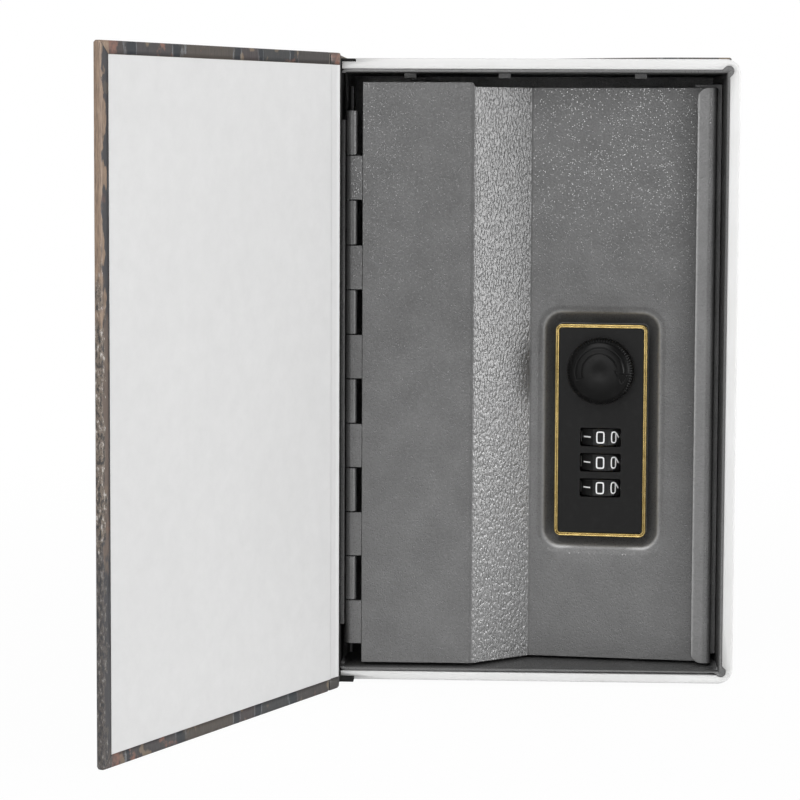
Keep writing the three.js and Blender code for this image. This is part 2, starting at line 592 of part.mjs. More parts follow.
piece('wheel_axle', upright(AXLE_RADIUS, 0, wheelDepth, fenceBottom - axleReach, fenceTop + axleReach,
  FINE_STEPS), STRONG_STEEL, lock);

const SPRING_THICK = 0.25;
const SPRING_HALF = 2;
piece('detent_spring', block(-SPRING_HALF, SPRING_HALF, chamberBack - GLUE - SPRING_THICK,
  chamberBack - GLUE, wheelBottom, wheelTop), STRONG_STEEL, lock);

// Fence bar: its fingers reach between the wheels, to the sleeves' gates
let fence = solid(block(fenceInner, fenceOuter, wheelDepth - FENCE_DEPTH / 2, wheelDepth + FENCE_DEPTH / 2,
  fenceBottom, fenceTop));
for (let i = 0; i < WHEELS; i += 1) {
  const z = wheelHeight(i) - WHEEL_PITCH / 2;
  fence = fence.add(solid(block(SLEEVE_RADIUS + LOOSE, fenceOuter, wheelDepth - FENCE_DEPTH / 2,
    wheelDepth + FENCE_DEPTH / 2, z - FENCE_THICK / 2, z + FENCE_THICK / 2)));
}
piece('fence_bar', fence, STRONG_STEEL, lock);

const SCREW_HEAD_RADIUS = 2.1;
const SCREW_HEAD = 1.2;
screwPlaces.forEach(([x, z], i) => {
  const screwBack = shellBack + SEAT + SCREW_HEAD;
  const screw = solid(across(SCREW_RADIUS, x, z, plateFront + PLATE_THICK / 2 + GLUE, screwBack))
    .add(solid(across(SCREW_HEAD_RADIUS, x, z, screwBack - SCREW_HEAD, screwBack)));
  piece(`lock_screw_${i + 1}`, screw, STRONG_STEEL, lock);
});

// Number wheels, top to bottom, each with the coding sleeve that it turns
const SLEEVE_HOLE = AXLE_RADIUS + AXLE_PLAY;
for (let i = 0; i < WHEELS; i += 1) {
  const z = wheelHeight(i);
  const half = WHEEL_THICK / 2;
  const facets = upright(wheelTip, 0, 0, -half, half, WHEEL_FACETS);
  facets.rotateZ(HALF_TURN / WHEEL_FACETS);
  const bore = upright(SLEEVE_RADIUS + GLUE, 0, 0, -half - CUT, half + CUT, FINE_STEPS);
  const place = new THREE.Group();
  place.position.set(0, wheelDepth, z);
  lock.add(place);
  piece(`number_wheel_${i + 1}`, solid(facets).subtract(solid(bore)), BLACK_PLASTIC, place);
  const sleeveHalf = (WHEEL_PITCH - RUNNING) / 2;
  const sleeve = solid(upright(SLEEVE_RADIUS, 0, 0, -sleeveHalf, sleeveHalf, FINE_STEPS))
    .subtract(solid(upright(SLEEVE_HOLE, 0, 0, -WHEEL_PITCH, WHEEL_PITCH, FINE_STEPS)))
    .subtract(solid(block(SLEEVE_RADIUS - FENCE_THICK, SLEEVE_RADIUS + CUT, -FENCE_DEPTH / 2 - GLUE,
      FENCE_DEPTH / 2 + GLUE, -sleeveHalf - CUT, -half)));
  piece(`coding_sleeve_${i + 1}`, sleeve, BRASS, place);
}

// Knob: a knurled rim under a chamfered crown with a sunk turn arrow
const knobGroup = new THREE.Group();
knobGroup.position.set(0, 0, knobRise);
lock.add(knobGroup);
const KNURL_TEETH = 48;
const KNURL_DEPTH = 0.25;
const CROWN_HEIGHT = 1.2;
const CROWN_INSET = 1.3;
const ARROW_INNER = 5.3;
const ARROW_OUTER = 7.4;
const ARROW_SINK = 0.4;
const ARROW_BARB = 1;
const ARROW_HEAD_ANGLE = THREE.MathUtils.degToRad(30);
const ARROW_START = THREE.MathUtils.degToRad(200);
const ARROW_END = THREE.MathUtils.degToRad(-5);
const ARROW_STEPS = 20;
const knobBack = plateFront - SEAT;
const knobFront = knobBack - KNOB_HEIGHT;
const knurl = new THREE.Shape(Array.from({ length: 2 * KNURL_TEETH }, (_, i) => {
  const radius = KNOB_RADIUS - (i % 2) * KNURL_DEPTH;
  const turn = (i * HALF_TURN) / KNURL_TEETH;
  return new THREE.Vector2(radius * Math.cos(turn), radius * Math.sin(turn));
}));
const crown = new THREE.CylinderGeometry(KNOB_RADIUS - KNURL_DEPTH, KNOB_RADIUS - CROWN_INSET,
  CROWN_HEIGHT, FINEST_STEPS);
crown.translate(0, knobFront + CROWN_HEIGHT / 2, 0);
const arrowPoint = (radius, turn) => new THREE.Vector2(radius * Math.cos(turn), radius * Math.sin(turn));
const arcPoints = (radius, from, to) => Array.from({ length: ARROW_STEPS + 1 },
  (_, i) => arrowPoint(radius, from + ((to - from) * i) / ARROW_STEPS));
const arrow = new THREE.Shape([
  ...arcPoints(ARROW_OUTER, ARROW_START, ARROW_END),
  arrowPoint(ARROW_OUTER + ARROW_BARB / 2, ARROW_END),
  arrowPoint((ARROW_INNER + ARROW_OUTER) / 2, ARROW_END - ARROW_HEAD_ANGLE),
  arrowPoint(ARROW_INNER - ARROW_BARB, ARROW_END),
  ...arcPoints(ARROW_INNER, ARROW_END, ARROW_START),
]);
const SPINDLE_SINK = 4;
const knob = solid(frontal(knurl, knobFront + CROWN_HEIGHT, knobBack))
  .add(solid(crown))
  .add(solid(across(KNOB_RADIUS - CROWN_INSET, 0, 0, knobFront + CROWN_HEIGHT / 2, knobBack,
    FINEST_STEPS)))
  .subtract(solid(frontal(arrow, knobFront - CUT, knobFront + ARROW_SINK)))
  .subtract(solid(across(SPINDLE_RADIUS + GLUE, 0, 0, knobBack - SPINDLE_SINK - GLUE, knobBack + CUT)));
piece('lock_knob', knob, BLACK_PLASTIC, knobGroup);

// Spindle, cam and nut
const CAM_WIDTH = 9;
const SQUARE_HALF = 2.1;
const NUT_RADIUS = 4.4;
const NUT_THICK = 2.2;
const NUT_SIDES = 6;
const THREAD_RADIUS = 2;
const camFront = shellBack + RUNNING;
const camBack = camFront + CAM_THICK;
const nutBack = camBack + SEAT + NUT_THICK;
const spindle = solid(across(SPINDLE_RADIUS, 0, 0, knobBack - SPINDLE_SINK, shellBack, FINE_STEPS))
  .add(solid(block(-SQUARE_HALF, SQUARE_HALF, shellBack - SHELL_BACK_WALL, camBack,
    -SQUARE_HALF, SQUARE_HALF)))
  .add(solid(across(THREAD_RADIUS, 0, 0, camBack - SHELL_BACK_WALL, nutBack + SEAT)));
piece('lock_spindle', spindle, BRASS, knobGroup);

const camHalf = CAM_WIDTH / 2;
const camShape = roundedShape(-camHalf, camHalf, camHalf - CAM_LENGTH - GLUE, camHalf, camHalf - GLUE);
const cam = solid(frontal(camShape, camFront, camBack))
  .subtract(solid(block(-SQUARE_HALF - GLUE, SQUARE_HALF + GLUE, camFront - CUT, camBack + CUT,
    -SQUARE_HALF - GLUE, SQUARE_HALF + GLUE)));
piece('lock_cam', cam, STRONG_STEEL, knobGroup);

const nut = solid(across(NUT_RADIUS, 0, 0, camBack + SEAT, nutBack, NUT_SIDES))
  .subtract(solid(across(THREAD_RADIUS + GLUE, 0, 0, camBack, nutBack + CUT)));
piece('cam_nut', nut, STRONG_STEEL, knobGroup);

// Reset lever on the back of the lock
const LEVER_THICK = 1;
const LEVER_RADIUS = 2.4;
const LEVER_LENGTH = 7;
const LEVER_HALF = 1.2;
const lever = new THREE.Group();
lever.position.set(0, 0, leverRise);
lock.add(lever);
const leverFront = shellBack + RUNNING;
const leverSolid = solid(across(LEVER_RADIUS, 0, 0, leverFront, leverFront + LEVER_THICK))
  .add(solid(block(0, LEVER_LENGTH, leverFront, leverFront + LEVER_THICK, -LEVER_HALF, LEVER_HALF)))
  .add(solid(across(LEVER_PIVOT, 0, 0, shellBack - LEVER_SINK, leverFront + LEVER_THICK / 2)));
piece('reset_lever', leverSolid, BRASS, lever);

// Strike: an angle on the fore-edge wall, just in front of the locked cam
const STRIKE_WIDTH = 8.3;
const STRIKE_HEIGHT = 24;
const STRIKE_FOOT = 7;
const camTipX = lockX + (CAM_LENGTH - camHalf) * Math.cos(PANEL_ANGLE) + camBack * Math.sin(PANEL_ANGLE);
const camTipFront = lockY - (camTipX - lockX) * Math.tan(PANEL_ANGLE) + camFront / Math.cos(PANEL_ANGLE);
const strikeFront = camTipFront - RUNNING - STEEL;
const strikeMiddle = lock.position.z + knobRise;
const strikeLeft = INNER_RIGHT - STRIKE_WIDTH;
piece('strike_bracket', prism(angle(strikeLeft, INNER_RIGHT - GLUE, strikeFront, STRIKE_FOOT),
  strikeMiddle - STRIKE_HEIGHT / 2, strikeMiddle + STRIKE_HEIGHT / 2), GREY_PAINT, book);

// The origin is the centre of the footprint
const footprint = new THREE.Box3().setFromObject(book, true);
const centre = footprint.getCenter(new THREE.Vector3());
book.position.set(-centre.x, -centre.y, -footprint.min.z);

export default book;
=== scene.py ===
# A book diversion safe: a hardback book whose hollow page block holds a small steel safe.
# It stands on its tail edge with the front cover folded open and the safe's door shut.
# Lengths are in millimetres, counted from the page block's front spine corner at the floor:
# X to the fore edge, Y to the back cover and Z up. placed() turns them into the CAD frame.

import math

import bmesh
import bpy
import numpy as np
from mathutils import Matrix, Vector


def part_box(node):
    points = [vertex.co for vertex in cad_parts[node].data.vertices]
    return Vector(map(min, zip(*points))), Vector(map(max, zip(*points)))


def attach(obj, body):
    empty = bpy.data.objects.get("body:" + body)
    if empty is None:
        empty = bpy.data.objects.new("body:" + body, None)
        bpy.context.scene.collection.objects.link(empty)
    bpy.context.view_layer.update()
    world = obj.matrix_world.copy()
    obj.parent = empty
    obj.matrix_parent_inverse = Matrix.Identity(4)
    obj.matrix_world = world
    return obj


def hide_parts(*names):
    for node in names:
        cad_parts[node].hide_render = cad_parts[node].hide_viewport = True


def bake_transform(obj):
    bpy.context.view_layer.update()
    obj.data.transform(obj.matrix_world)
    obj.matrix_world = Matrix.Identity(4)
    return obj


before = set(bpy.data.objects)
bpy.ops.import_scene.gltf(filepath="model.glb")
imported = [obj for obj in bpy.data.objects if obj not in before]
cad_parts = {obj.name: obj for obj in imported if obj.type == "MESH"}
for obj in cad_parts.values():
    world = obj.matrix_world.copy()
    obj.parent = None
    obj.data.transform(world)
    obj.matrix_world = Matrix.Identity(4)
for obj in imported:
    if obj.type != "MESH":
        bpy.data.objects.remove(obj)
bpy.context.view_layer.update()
MM = 0.001

# Camera
# A long lens in front of the book and a little above the lock, turned slightly to the left
# and down, with the frame moved down a little, as the photograph was taken.

page_low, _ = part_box("page_block")
corner = np.array([page_low.x, page_low.y, 0])
CAMERA_PLACE = np.array([48.255, -724.694, 157.964])
CAMERA_YAW, CAMERA_PITCH, CAMERA_ROLL = 0.0436141, -0.0780930, -0.0041752
LENS_PER_SENSOR = 3.201945
FRAME_SHIFT = -0.0843047

camera = bpy.data.objects.new("camera", bpy.data.cameras.new("camera"))
camera.matrix_world = (
    Matrix.Translation(corner + CAMERA_PLACE * MM)
    @ Matrix.Rotation(CAMERA_YAW, 4, "Z")
    @ Matrix.Rotation(CAMERA_PITCH, 4, "X")
    @ Matrix.Rotation(CAMERA_ROLL, 4, "Y")
    @ Matrix.Rotation(math.radians(90), 4, "X")
)
camera.data.lens = LENS_PER_SENSOR * camera.data.sensor_width
camera.data.shift_y = FRAME_SHIFT
camera.data.clip_end = 20
bpy.context.scene.collection.objects.link(camera)
bpy.context.scene.camera = camera

# Page block
# A moulded white plastic channel that stands for the pages. Its outer walls are ribbed like
# leaves, and its spine ends are stepped down where the black lining laps over them.

HEIGHT = 180
PAGE_WIDTH, PAGE_DEPTH, RIM, TAIL_THIN = 112, 49.5, 3, 0.6
PAGE_BOTTOM, PAGE_TOP = 1.25, 178.75
PAGE_CORNER = 4.2
RIM_ROUND = 0.45
LEAF_PITCH, LEAF_DEPTH = 0.66, 0.07
LAP_STEP, LAP = 1, 3.85
SHARP, DOUBLES = 38, 1e-6


def tone(red, green=None, blue=None):
    """A colour or grey as seen on a screen, 0 to 255, as the light that a shader works with:
    (value + 0.055) / 1.055 to the power 2.4, and value / 12.92 near black."""
    values = [red, red if green is None else green, red if blue is None else blue]
    return tuple(c / 3294.6 if c < 10.3 else ((c / 255 + 0.055) / 1.055) ** 2.4 for c in values)


class Signal:
    """A shader socket that takes part in sums: each operator adds its Math node."""

    def __init__(self, finish, socket):
        self.finish, self.socket = finish, socket

    def math(self, operation, *values):
        return self.finish.node("ShaderNodeMath", {"operation": operation}, dict(enumerate(values)))

    def __add__(self, other):
        return self.math("ADD", self, other)

    def __sub__(self, other):
        return self.math("SUBTRACT", self, other)

    def __rsub__(self, other):
        return self.math("SUBTRACT", other, self)

    def __mul__(self, other):
        return self.math("MULTIPLY", self, other)

    def __abs__(self):
        return self.math("ABSOLUTE", self)

    __radd__ = __add__
    __rmul__ = __mul__


class Finish:
    """A material or the world under way. node() adds any node; the others are short forms."""

    def __init__(self, name, source="Object", block=None):
        self.block = block or bpy.data.materials.new(name)
        self.block.use_nodes = True
        self.tree = self.block.node_tree
        self.tree.nodes.clear()
        self.place = self.node("ShaderNodeTexCoord", {}, {}, source)

    def node(self, kind, settings, sockets, output=0):
        """Adds a node: its settings first, a ramp's stops among them, then its sockets."""
        made = self.tree.nodes.new(kind)
        for name, value in settings.items():
            if name != "stops":
                setattr(made, name, value)
                continue
            stops = made.color_ramp.elements
            while len(stops) < len(value):
                stops.new(1)
            for stop, (share, colour) in zip(stops, value):
                stop.position, stop.color = share, (*colour, 1)
        for key, value in sockets.items():
            if isinstance(value, Signal):
                self.tree.links.new(value.socket, made.inputs[key])
            else:
                made.inputs[key].default_value = value
        return Signal(self, made.outputs[output]) if made.outputs else None

    def split(self, vector):
        """A vector's three coordinates."""
        parts = self.node("ShaderNodeSeparateXYZ", {}, {0: vector}).socket.node.outputs
        return [Signal(self, part) for part in parts]

    def stretched(self, scale, turn=(0, 0, 0)):
        """The pattern's place, each axis multiplied by its scale."""
        sockets = {"Vector": self.place, "Scale": scale, "Rotation": turn}
        return self.node("ShaderNodeMapping", {}, sockets)

    def noise(self, size, detail=2, rough=0.5, stretch=None):
        """Soft noise whose patches are about size millimetres across, divided by any stretch."""
        place = self.stretched(stretch) if stretch else self.place
        sockets = {"Vector": place, "Scale": 1 / (size * MM), "Detail": detail, "Roughness": rough}
        return self.node("ShaderNodeTexNoise", {}, sockets)

    def cells(self, sockets, output=0, **settings):
        """A pattern of cells: the distance from each one's middle, or another output of it."""
        return self.node("ShaderNodeTexVoronoi", settings, sockets, output)

    def chance(self, colour):
        """A number from 0 to 1 for each cell, from the colour that it has."""
        return self.node("ShaderNodeSeparateColor", {}, {0: colour})

    def ramp(self, signal, *stops):
        """A colour for each value of a signal, from (value, colour) stops."""
        return self.node("ShaderNodeValToRGB", {"stops": stops}, {"Fac": signal}, "Color")

    def levels(self, signal, low, high):
        """The signal from low to high spread over 0 to 1, eased at both ends."""
        sockets = {"Value": signal, "From Min": low, "From Max": high}
        return self.node("ShaderNodeMapRange", {"interpolation_type": "SMOOTHSTEP"}, sockets)

    def between(self, signal, low, full, still_full, high):
        """1 where the signal is from full to still_full, and 0 below low and above high."""
        return self.levels(signal, low, full) * self.levels(signal, high, still_full)

    def mix(self, factor, first, second):
        """first where the factor is 0 and second where it is 1."""
        colours = [c if isinstance(c, Signal) else (*c, 1) for c in (first, second)]
        sockets = {0: factor, 6: colours[0], 7: colours[1]}
        return self.node("ShaderNodeMix", {"data_type": "RGBA"}, sockets, 2)

    def coated(self, colour, *coats):
        """A colour under (mask, colour) coats, each of which hides it where its mask is 1."""
        for mask, coat in coats:
            colour = self.mix(mask, colour, coat)
        return colour

    def done(self, colour, roughness, bumps=(), **sockets):
        """Ends the material in its shader. bumps are (height, depth in millimetres) pairs."""
        inputs = {"Base Color": colour, "Roughness": roughness}
        for height, depth in bumps:
            under = {"Normal": inputs["Normal"]} if "Normal" in inputs else {}
            bump = {"Height": height, "Distance": depth * MM, "Strength": 1, **under}
            inputs["Normal"] = self.node("ShaderNodeBump", {}, bump)
        for name, value in sockets.items():
            inputs[name.replace("_", " ").title().replace("Ior", "IOR")] = value
        shader = self.node("ShaderNodeBsdfPrincipled", {}, inputs)
        self.node("ShaderNodeOutputMaterial", {}, {"Surface": shader})
        return self.block


def placed(points):
    """Points counted in millimetres from the page block's corner, as the frame's metres."""
    return np.asarray(points, float) * MM + corner


def together(*parts):
    """Arrays or numbers as the coordinates of points, each spread to the others' shape."""
    return np.stack(np.broadcast_arrays(*parts), axis=-1)


def upright(plan, z):
    """Places in plan with their heights, each spread to the other's shape."""
    return together(plan[..., 0], plan[..., 1], z)


def grid_faces(rows, columns, close_rows=False, close_columns=False):
    """Four-cornered faces of a grid of points: each point, the next along its row's way, the
    one across and the next along its column's way. Their outside is row way x column way."""
    index = np.arange(rows * columns).reshape(rows, columns)
    if close_rows:
        index = np.vstack([index, index[:1]])
    if close_columns:
        index = np.hstack([index, index[:, :1]])
    corners = [index[:-1, :-1], index[1:, :-1], index[1:, 1:], index[:-1, 1:]]
    return np.stack(corners, axis=-1).reshape(-1, 4)


def tube_faces(rows, columns):
    """The faces of a grid whose columns close to a tube, with a cap at each end."""
    cap = np.arange(columns)
    walls = grid_faces(rows, columns, close_columns=True)
    return [*walls, cap, (cap + (rows - 1) * columns)[::-1]]


def raised(outline, z0, z1):
    """An outline in plan raised from z0 to z1."""
    return upright(np.array(outline)[None], [[z0], [z1]]), tube_faces(2, len(outline))


def joined(*parts):
    """Several (points, faces) pairs as one, each face's numbers moved past the points before."""
    points, faces, count = [], [], 0
    for part_points, part_faces in parts:
        part_points = np.asarray(part_points, float).reshape(-1, 3)
        points.append(part_points)
        faces += [[int(i) + count for i in face] for face in part_faces]
        count += len(part_points)
    return np.concatenate(points), faces


def linked(name, work, mesh, material, sharp):
    """An object in the scene from an edited mesh, shaded smooth where it isn't sharp."""
    work.to_mesh(mesh)
    work.free()
    mesh.shade_smooth()
    mesh.set_sharp_from_angle(angle=math.radians(sharp))
    mesh.materials.clear()
    mesh.materials.append(material)
    piece = bpy.data.objects.new(name, mesh)
    bpy.context.scene.collection.objects.link(piece)
    return piece


def made(name, points, faces, material, sharp=SHARP, uv=None, outwards=True):
    """A piece from points and faces, its doubles merged and its smooth surfaces shaded so."""
    mesh = bpy.data.meshes.new(name)
    places = placed(np.reshape(points, (-1, 3))).tolist()
    mesh.from_pydata(places, [], [list(map(int, face)) for face in faces])
    if uv is not None:
        layer = mesh.uv_layers.new(name="sheet")
        ends = np.empty(len(mesh.loops), dtype=np.int32)
        mesh.loops.foreach_get("vertex_index", ends)
        layer.data.foreach_set("uv", (np.reshape(uv, (-1, 2))[ends]).ravel())
    work = bmesh.new()
    work.from_mesh(mesh)
    bmesh.ops.remove_doubles(work, verts=work.verts, dist=DOUBLES)
    if outwards:
        bmesh.ops.recalc_face_normals(work, faces=work.faces)
    return linked(name, work, mesh, material, sharp)


def fixed(piece, body, slot, *nodes):
    """Hangs the piece on the body that it moves with and hides the CAD nodes it stands for; slot is
    not used.
    """
    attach(piece, body)
    if nodes:
        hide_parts(*nodes)
    return piece


def rounded_path(points, radii, steps=8):
    """A bent line with its corners eased: each corner becomes the curve
    (1-t)^2 before + 2t(1-t) corner + t^2 after, between two places a radius away from it."""
    points = np.asarray(points, float)
    t = np.linspace(0, 1, steps + 1)[:, None]
    line = [points[:1]]
    for before, point, after, radius in zip(points, points[1:], points[2:], radii):
        enter, leave = (point + (end - point) / np.linalg.norm(end - point) * radius
                        for end in (before, after))
        line.append((1 - t) ** 2 * enter + 2 * t * (1 - t) * point + t**2 * leave)
    return np.concatenate([*line, points[-1:]])


def along(line, stations=None, step=0.02):
    """Places along a bent line at given distances from its start, the direction there, and the
    line's length. The direction is the line's difference over a short step, made unit length."""
    length = np.concatenate([[0], np.cumsum(np.linalg.norm(np.diff(line, axis=0), axis=1))])
    at = length if stations is None else np.asarray(stations, float)

    def place(distance):
        return together(*(np.interp(distance, length, c) for c in line.T))

    way = place(np.minimum(at + step, length[-1])) - place(np.maximum(at - step, 0))
    return place(at), way / np.linalg.norm(way, axis=1, keepdims=True), length[-1]


def right_of(way):
    """The ways a quarter turn to the right of others in plan."""
    return together(way[:, 1], -way[:, 0])


def carried(place, way, section):
    """A section of (depth, Y) carried round an outline in X and Z, its depth against the ways."""
    depth, y = section.T
    return together(place[:, :1] - way[:, :1] * depth, y, place[:, 1:] - way[:, 1:] * depth)


def page_channel():
    """The channel: its outer outline in X and Z carried round a section in depth and Y. The
    section's outer side is y -> depth LEAF_DEPTH * |sin|, its rims are quarter rounds, and its
    inner side is TAIL_THIN nearer to the outer one along the tail."""
    turn = np.linspace(0, math.pi / 2, 9)
    ways = together(np.sin(turn), np.cos(turn))
    down = ways[::-1] * [1, -1]
    inner_x, inner_top, inner_low = np.array([PAGE_WIDTH, PAGE_TOP, PAGE_BOTTOM]) + [
        -PAGE_CORNER, -PAGE_CORNER, PAGE_CORNER]
    straight = np.linspace(inner_top, inner_low, 13)[1:-1]
    flat = np.linspace(0, inner_x, 9)[:-1]
    place = np.concatenate([
        together(flat, PAGE_TOP), [inner_x, inner_top] + PAGE_CORNER * ways,
        together(PAGE_WIDTH, straight), [inner_x, inner_low] + PAGE_CORNER * down,
        together(flat[::-1], PAGE_BOTTOM)])
    way = np.concatenate([
        together(0 * flat, 1), ways, together(1, 0 * straight), down, together(0 * flat, -1)])
    between = PAGE_DEPTH - 2 * RIM_ROUND
    leaves = round(between / LEAF_PITCH)
    share = np.linspace(0, 1, leaves * 4 + 1)
    side = together(LEAF_DEPTH * (1 - np.abs(np.sin(share * leaves * math.pi))),
                    RIM_ROUND + share * between)
    turn = np.linspace(0, math.pi / 2, 6)[1:]
    start, end = RIM_ROUND * (1 - np.cos(turn)), RIM_ROUND * (1 - np.sin(turn))
    back = np.concatenate([together(start, PAGE_DEPTH - end), together(RIM - end, PAGE_DEPTH - start)])
    section = np.concatenate([side, back, back[::-1] * [1, -1] + [0, PAGE_DEPTH]])
    points = carried(place, way, section)
    points[..., 2] -= TAIL_THIN * (section[:, 0] > RIM / 2) * (way[:, 1:] < -0.5)
    return points, tube_faces(*points.shape[:2])


def page_plastic():
    finish = Finish("page_plastic")
    cloudy = finish.noise(16, detail=3)
    grain = finish.noise(0.3, detail=2)
    leaves = finish.noise(0.5, detail=1, stretch=(0.02, 1, 0.02))
    colour = finish.ramp(cloudy, (0.3, tone(224, 224, 223)), (0.7, tone(229, 229, 229)))
    colour = finish.mix(finish.levels(leaves, 0.62, 0.7) * 0.12, colour, tone(190, 188, 184))
    return finish.done(colour, 0.45 + cloudy * 0.15, [(grain, 0.015)])


def cut_out(piece, *cutters):
    """Takes cutters away from a piece and works the result into its mesh."""
    for cutter in cutters:
        cut = piece.modifiers.new("cut", "BOOLEAN")
        cut.object, cut.operation, cut.solver = cutter, "DIFFERENCE", "EXACT"
    worked_in(piece)
    for cutter in cutters:
        bpy.data.objects.remove(cutter)


def worked_in(piece):
    """Works a piece's modifiers into its mesh."""
    graph = bpy.context.evaluated_depsgraph_get()
    mesh = bpy.data.meshes.new_from_object(piece.evaluated_get(graph))
    piece.modifiers.clear()
    piece.data = mesh


def slab(x0, x1, y0, y1, z0, z1):
    """A block between two corners."""
    return raised([(x0, y0), (x1, y0), (x1, y1), (x0, y1)], z0, z1)


def notch(corner_z, up):
    """A cutter for a corner tab's notch: a bar NOTCH_HALF to each side of a line that leans out
    at 45 degrees, with a half round end, pushed along Y."""
    turn = np.linspace(-math.pi / 2, math.pi / 2, 13)
    run = np.concatenate([[-2], NOTCH_ROUND_AT + NOTCH_HALF * np.cos(turn), [-2]])
    side = np.concatenate([[-NOTCH_HALF], NOTCH_HALF * np.sin(turn), [NOTCH_HALF]])
    x = NOTCH_X + (run - side) * math.sqrt(0.5)
    z = corner_z + (run + side) * math.sqrt(0.5) * up
    points, faces = raised(together(x, z), -1, NOTCH_DEEP)
    return points[..., [0, 2, 1]], faces


PAGES = page_plastic()
BEHIND = 51
NOTCH_X, NOTCH_Z, NOTCH_HALF, NOTCH_ROUND_AT, NOTCH_DEEP = 108.4, (4.85, 175.15), 1.56, 0.3, 2.4
channel = made("page_channel", *page_channel(), PAGES)
cutters = [slab(-1, LAP, -1, BEHIND, PAGE_TOP - LAP_STEP, HEIGHT),
           slab(-1, LAP, -1, BEHIND, 0, PAGE_BOTTOM + LAP_STEP),
           notch(NOTCH_Z[1], 1), notch(NOTCH_Z[0], -1)]
cut_out(channel, *(made("cut", *cutter, PAGES) for cutter in cutters))
fixed(channel, "safe", "page_plastic", "page_block")

# Spine lining
# Black book cloth glued inside the spine, with a foot and a head that lap over the two ends
# of the page block. The foot hangs down to FOOT, a little lower than in the CAD.


def black_cloth():
    finish = Finish("black_cloth")
    dust = finish.levels(finish.noise(7, detail=4), 0.45, 0.75)
    colour = finish.mix(dust, tone(17), tone(36, 35, 34))
    return finish.done(colour, 0.85, [(finish.noise(0.35), 0.05)])


def bevelled(piece, width, angle=SHARP):
    """Rounds a piece's edges that are sharper than an angle, over a width in millimetres."""
    bevel = piece.modifiers.new("round", "BEVEL")
    bevel.width, bevel.segments = width * MM, 2
    bevel.limit_method, bevel.angle_limit = "ANGLE", math.radians(angle)
    return piece


def softened(node, name, material, width):
    """A copy of a CAD node with its flat facets merged and its sharp edges rounded over."""
    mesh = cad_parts[node].data.copy()
    mesh.name = name
    work = bmesh.new()
    work.from_mesh(mesh)
    bmesh.ops.remove_doubles(work, verts=work.verts, dist=DOUBLES)
    bmesh.ops.dissolve_limit(work, angle_limit=math.radians(1), verts=work.verts, edges=work.edges)
    return bevelled(linked(name, work, mesh, material, SHARP), width)


def dressed(node, name, material, width, body, slot):
    """A CAD node's softened copy in its place."""
    return fixed(softened(node, name, material, width), body, slot, node)


BLACK_CLOTH = black_cloth()
FOOT_BELOW, FOOT = 1.5, 0.35
lining = softened("spine_lining", "spine_cloth", BLACK_CLOTH, 0.1)
for point in lining.data.vertices:
    if point.co.z < FOOT_BELOW * MM:
        point.co.z = FOOT * MM
fixed(lining, "safe", "black_cloth", "spine_lining")

# Steel box
# A folded sheet steel box in grey hammered paint, pushed into the page block. Its front
# corners have bent tabs that lie in notches, and its head has three punched-in lugs.


def grey_paint(name, base, banded):
    """Hammered metallic paint with a fine grain: a faint peel on the flats, and on the door's
    slanted band small upright cells with steep little valleys, where it wrinkled as it dried.
    Bright specks lie flat in it and flash where a lamp is mirrored, and their colour is painted
    paler as a painted glint. The band is painted paler towards the bottom as a painted sheen,
    and all of it a little lighter towards the bottom, as painted light against the lamps' sheen
    at the top. The sheet's U is the share painted pale as a highlight, and its V the share
    painted darker as shade beside the hem. Edges that face the front of the book, nearer than
    FRONT_EDGE, are paler: on the box, whose paint is a darker copy painted as shade, they keep
    a lit grey."""
    finish = Finish(name)
    across, forward, up = finish.split(finish.place)
    wear_and_highlight, dark, _ = finish.split(finish.node("ShaderNodeUVMap", {"uv_map": "sheet"}, {}))
    on_band = banded * finish.between(across, BAND_X[0], BAND_X[0] + BAND_BLUR,
                                      BAND_X[1], BAND_X[1] + BAND_BLUR)
    leaning = finish.stretched((1, 1, 0.5), (0, math.radians(18), 0))
    cell = finish.cells({"Vector": leaning, "Scale": 1 / (WRINKLE * MM)})
    valley = finish.levels(cell + finish.noise(1.0, detail=1) * 0.35, 0.55, 1.0)
    dots = finish.cells({"Vector": finish.place, "Scale": 1 / (SPECK * MM)})
    chosen = finish.levels(finish.chance(Signal(finish, dots.socket.node.outputs["Color"])), 0.3, 0.36)
    speck = finish.levels(dots, 0.36, 0.2) * chosen * finish.levels(wear_and_highlight, 0.1, 0.04)
    peel = finish.noise(0.8, detail=1, rough=0.6)
    tint = finish.noise(9, detail=3) * 0.5 + finish.noise(0.42, detail=1) * 0.5
    # Painted light: the paint is lighter towards the bottom, against the lamps' sheen at the top.
    tint = tint + finish.levels(up, 0.13, 0.0) * 0.3
    # pale: a painted sheen on the slanted band, paler towards the bottom.
    pale = finish.ramp(finish.levels(up, 0.16, 0.02), (0, tone(base - 4)), (1, tone(base + 36)))
    colour = finish.coated(
        finish.ramp(tint, (0.35, tone(base - 10)), (0.95, tone(base + 19))),
        # Painted glint: the specks are painted paler.
        (speck * 0.22, tone(base + 60)),
        (on_band * 0.8, pale),
        # Painted highlight where the sheet's U says so: the recess's edge, the hem and its free edge.
        (wear_and_highlight * finish.levels(peel, -0.2, 0.6), tone(190)),
        # Painted shade beside the hem, where the sheet's V says so, fading towards the bottom.
        (dark * finish.levels(up, -0.05, 0.11), tone(30)),
        # Front edges painted a paler, lit grey beside the box's painted shade.
        (finish.levels(forward, FRONT_EDGE + 0.1 * MM, FRONT_EDGE), tone(116)))
    bumps = [(0 - valley * on_band, 0.066), (peel * (1 - speck), 0.06)]
    return finish.done(colour, 0.46 - on_band * 0.14 - speck * 0.32, bumps, metallic=0.55)


WRINKLE, SPECK, BAND_BLUR = 0.7, 0.56, 0.6 * MM
BAND_X = (page_low.x + 37.2 * MM, page_low.x + 53.3 * MM)
FRONT_EDGE = page_low.y + 0.45 * MM
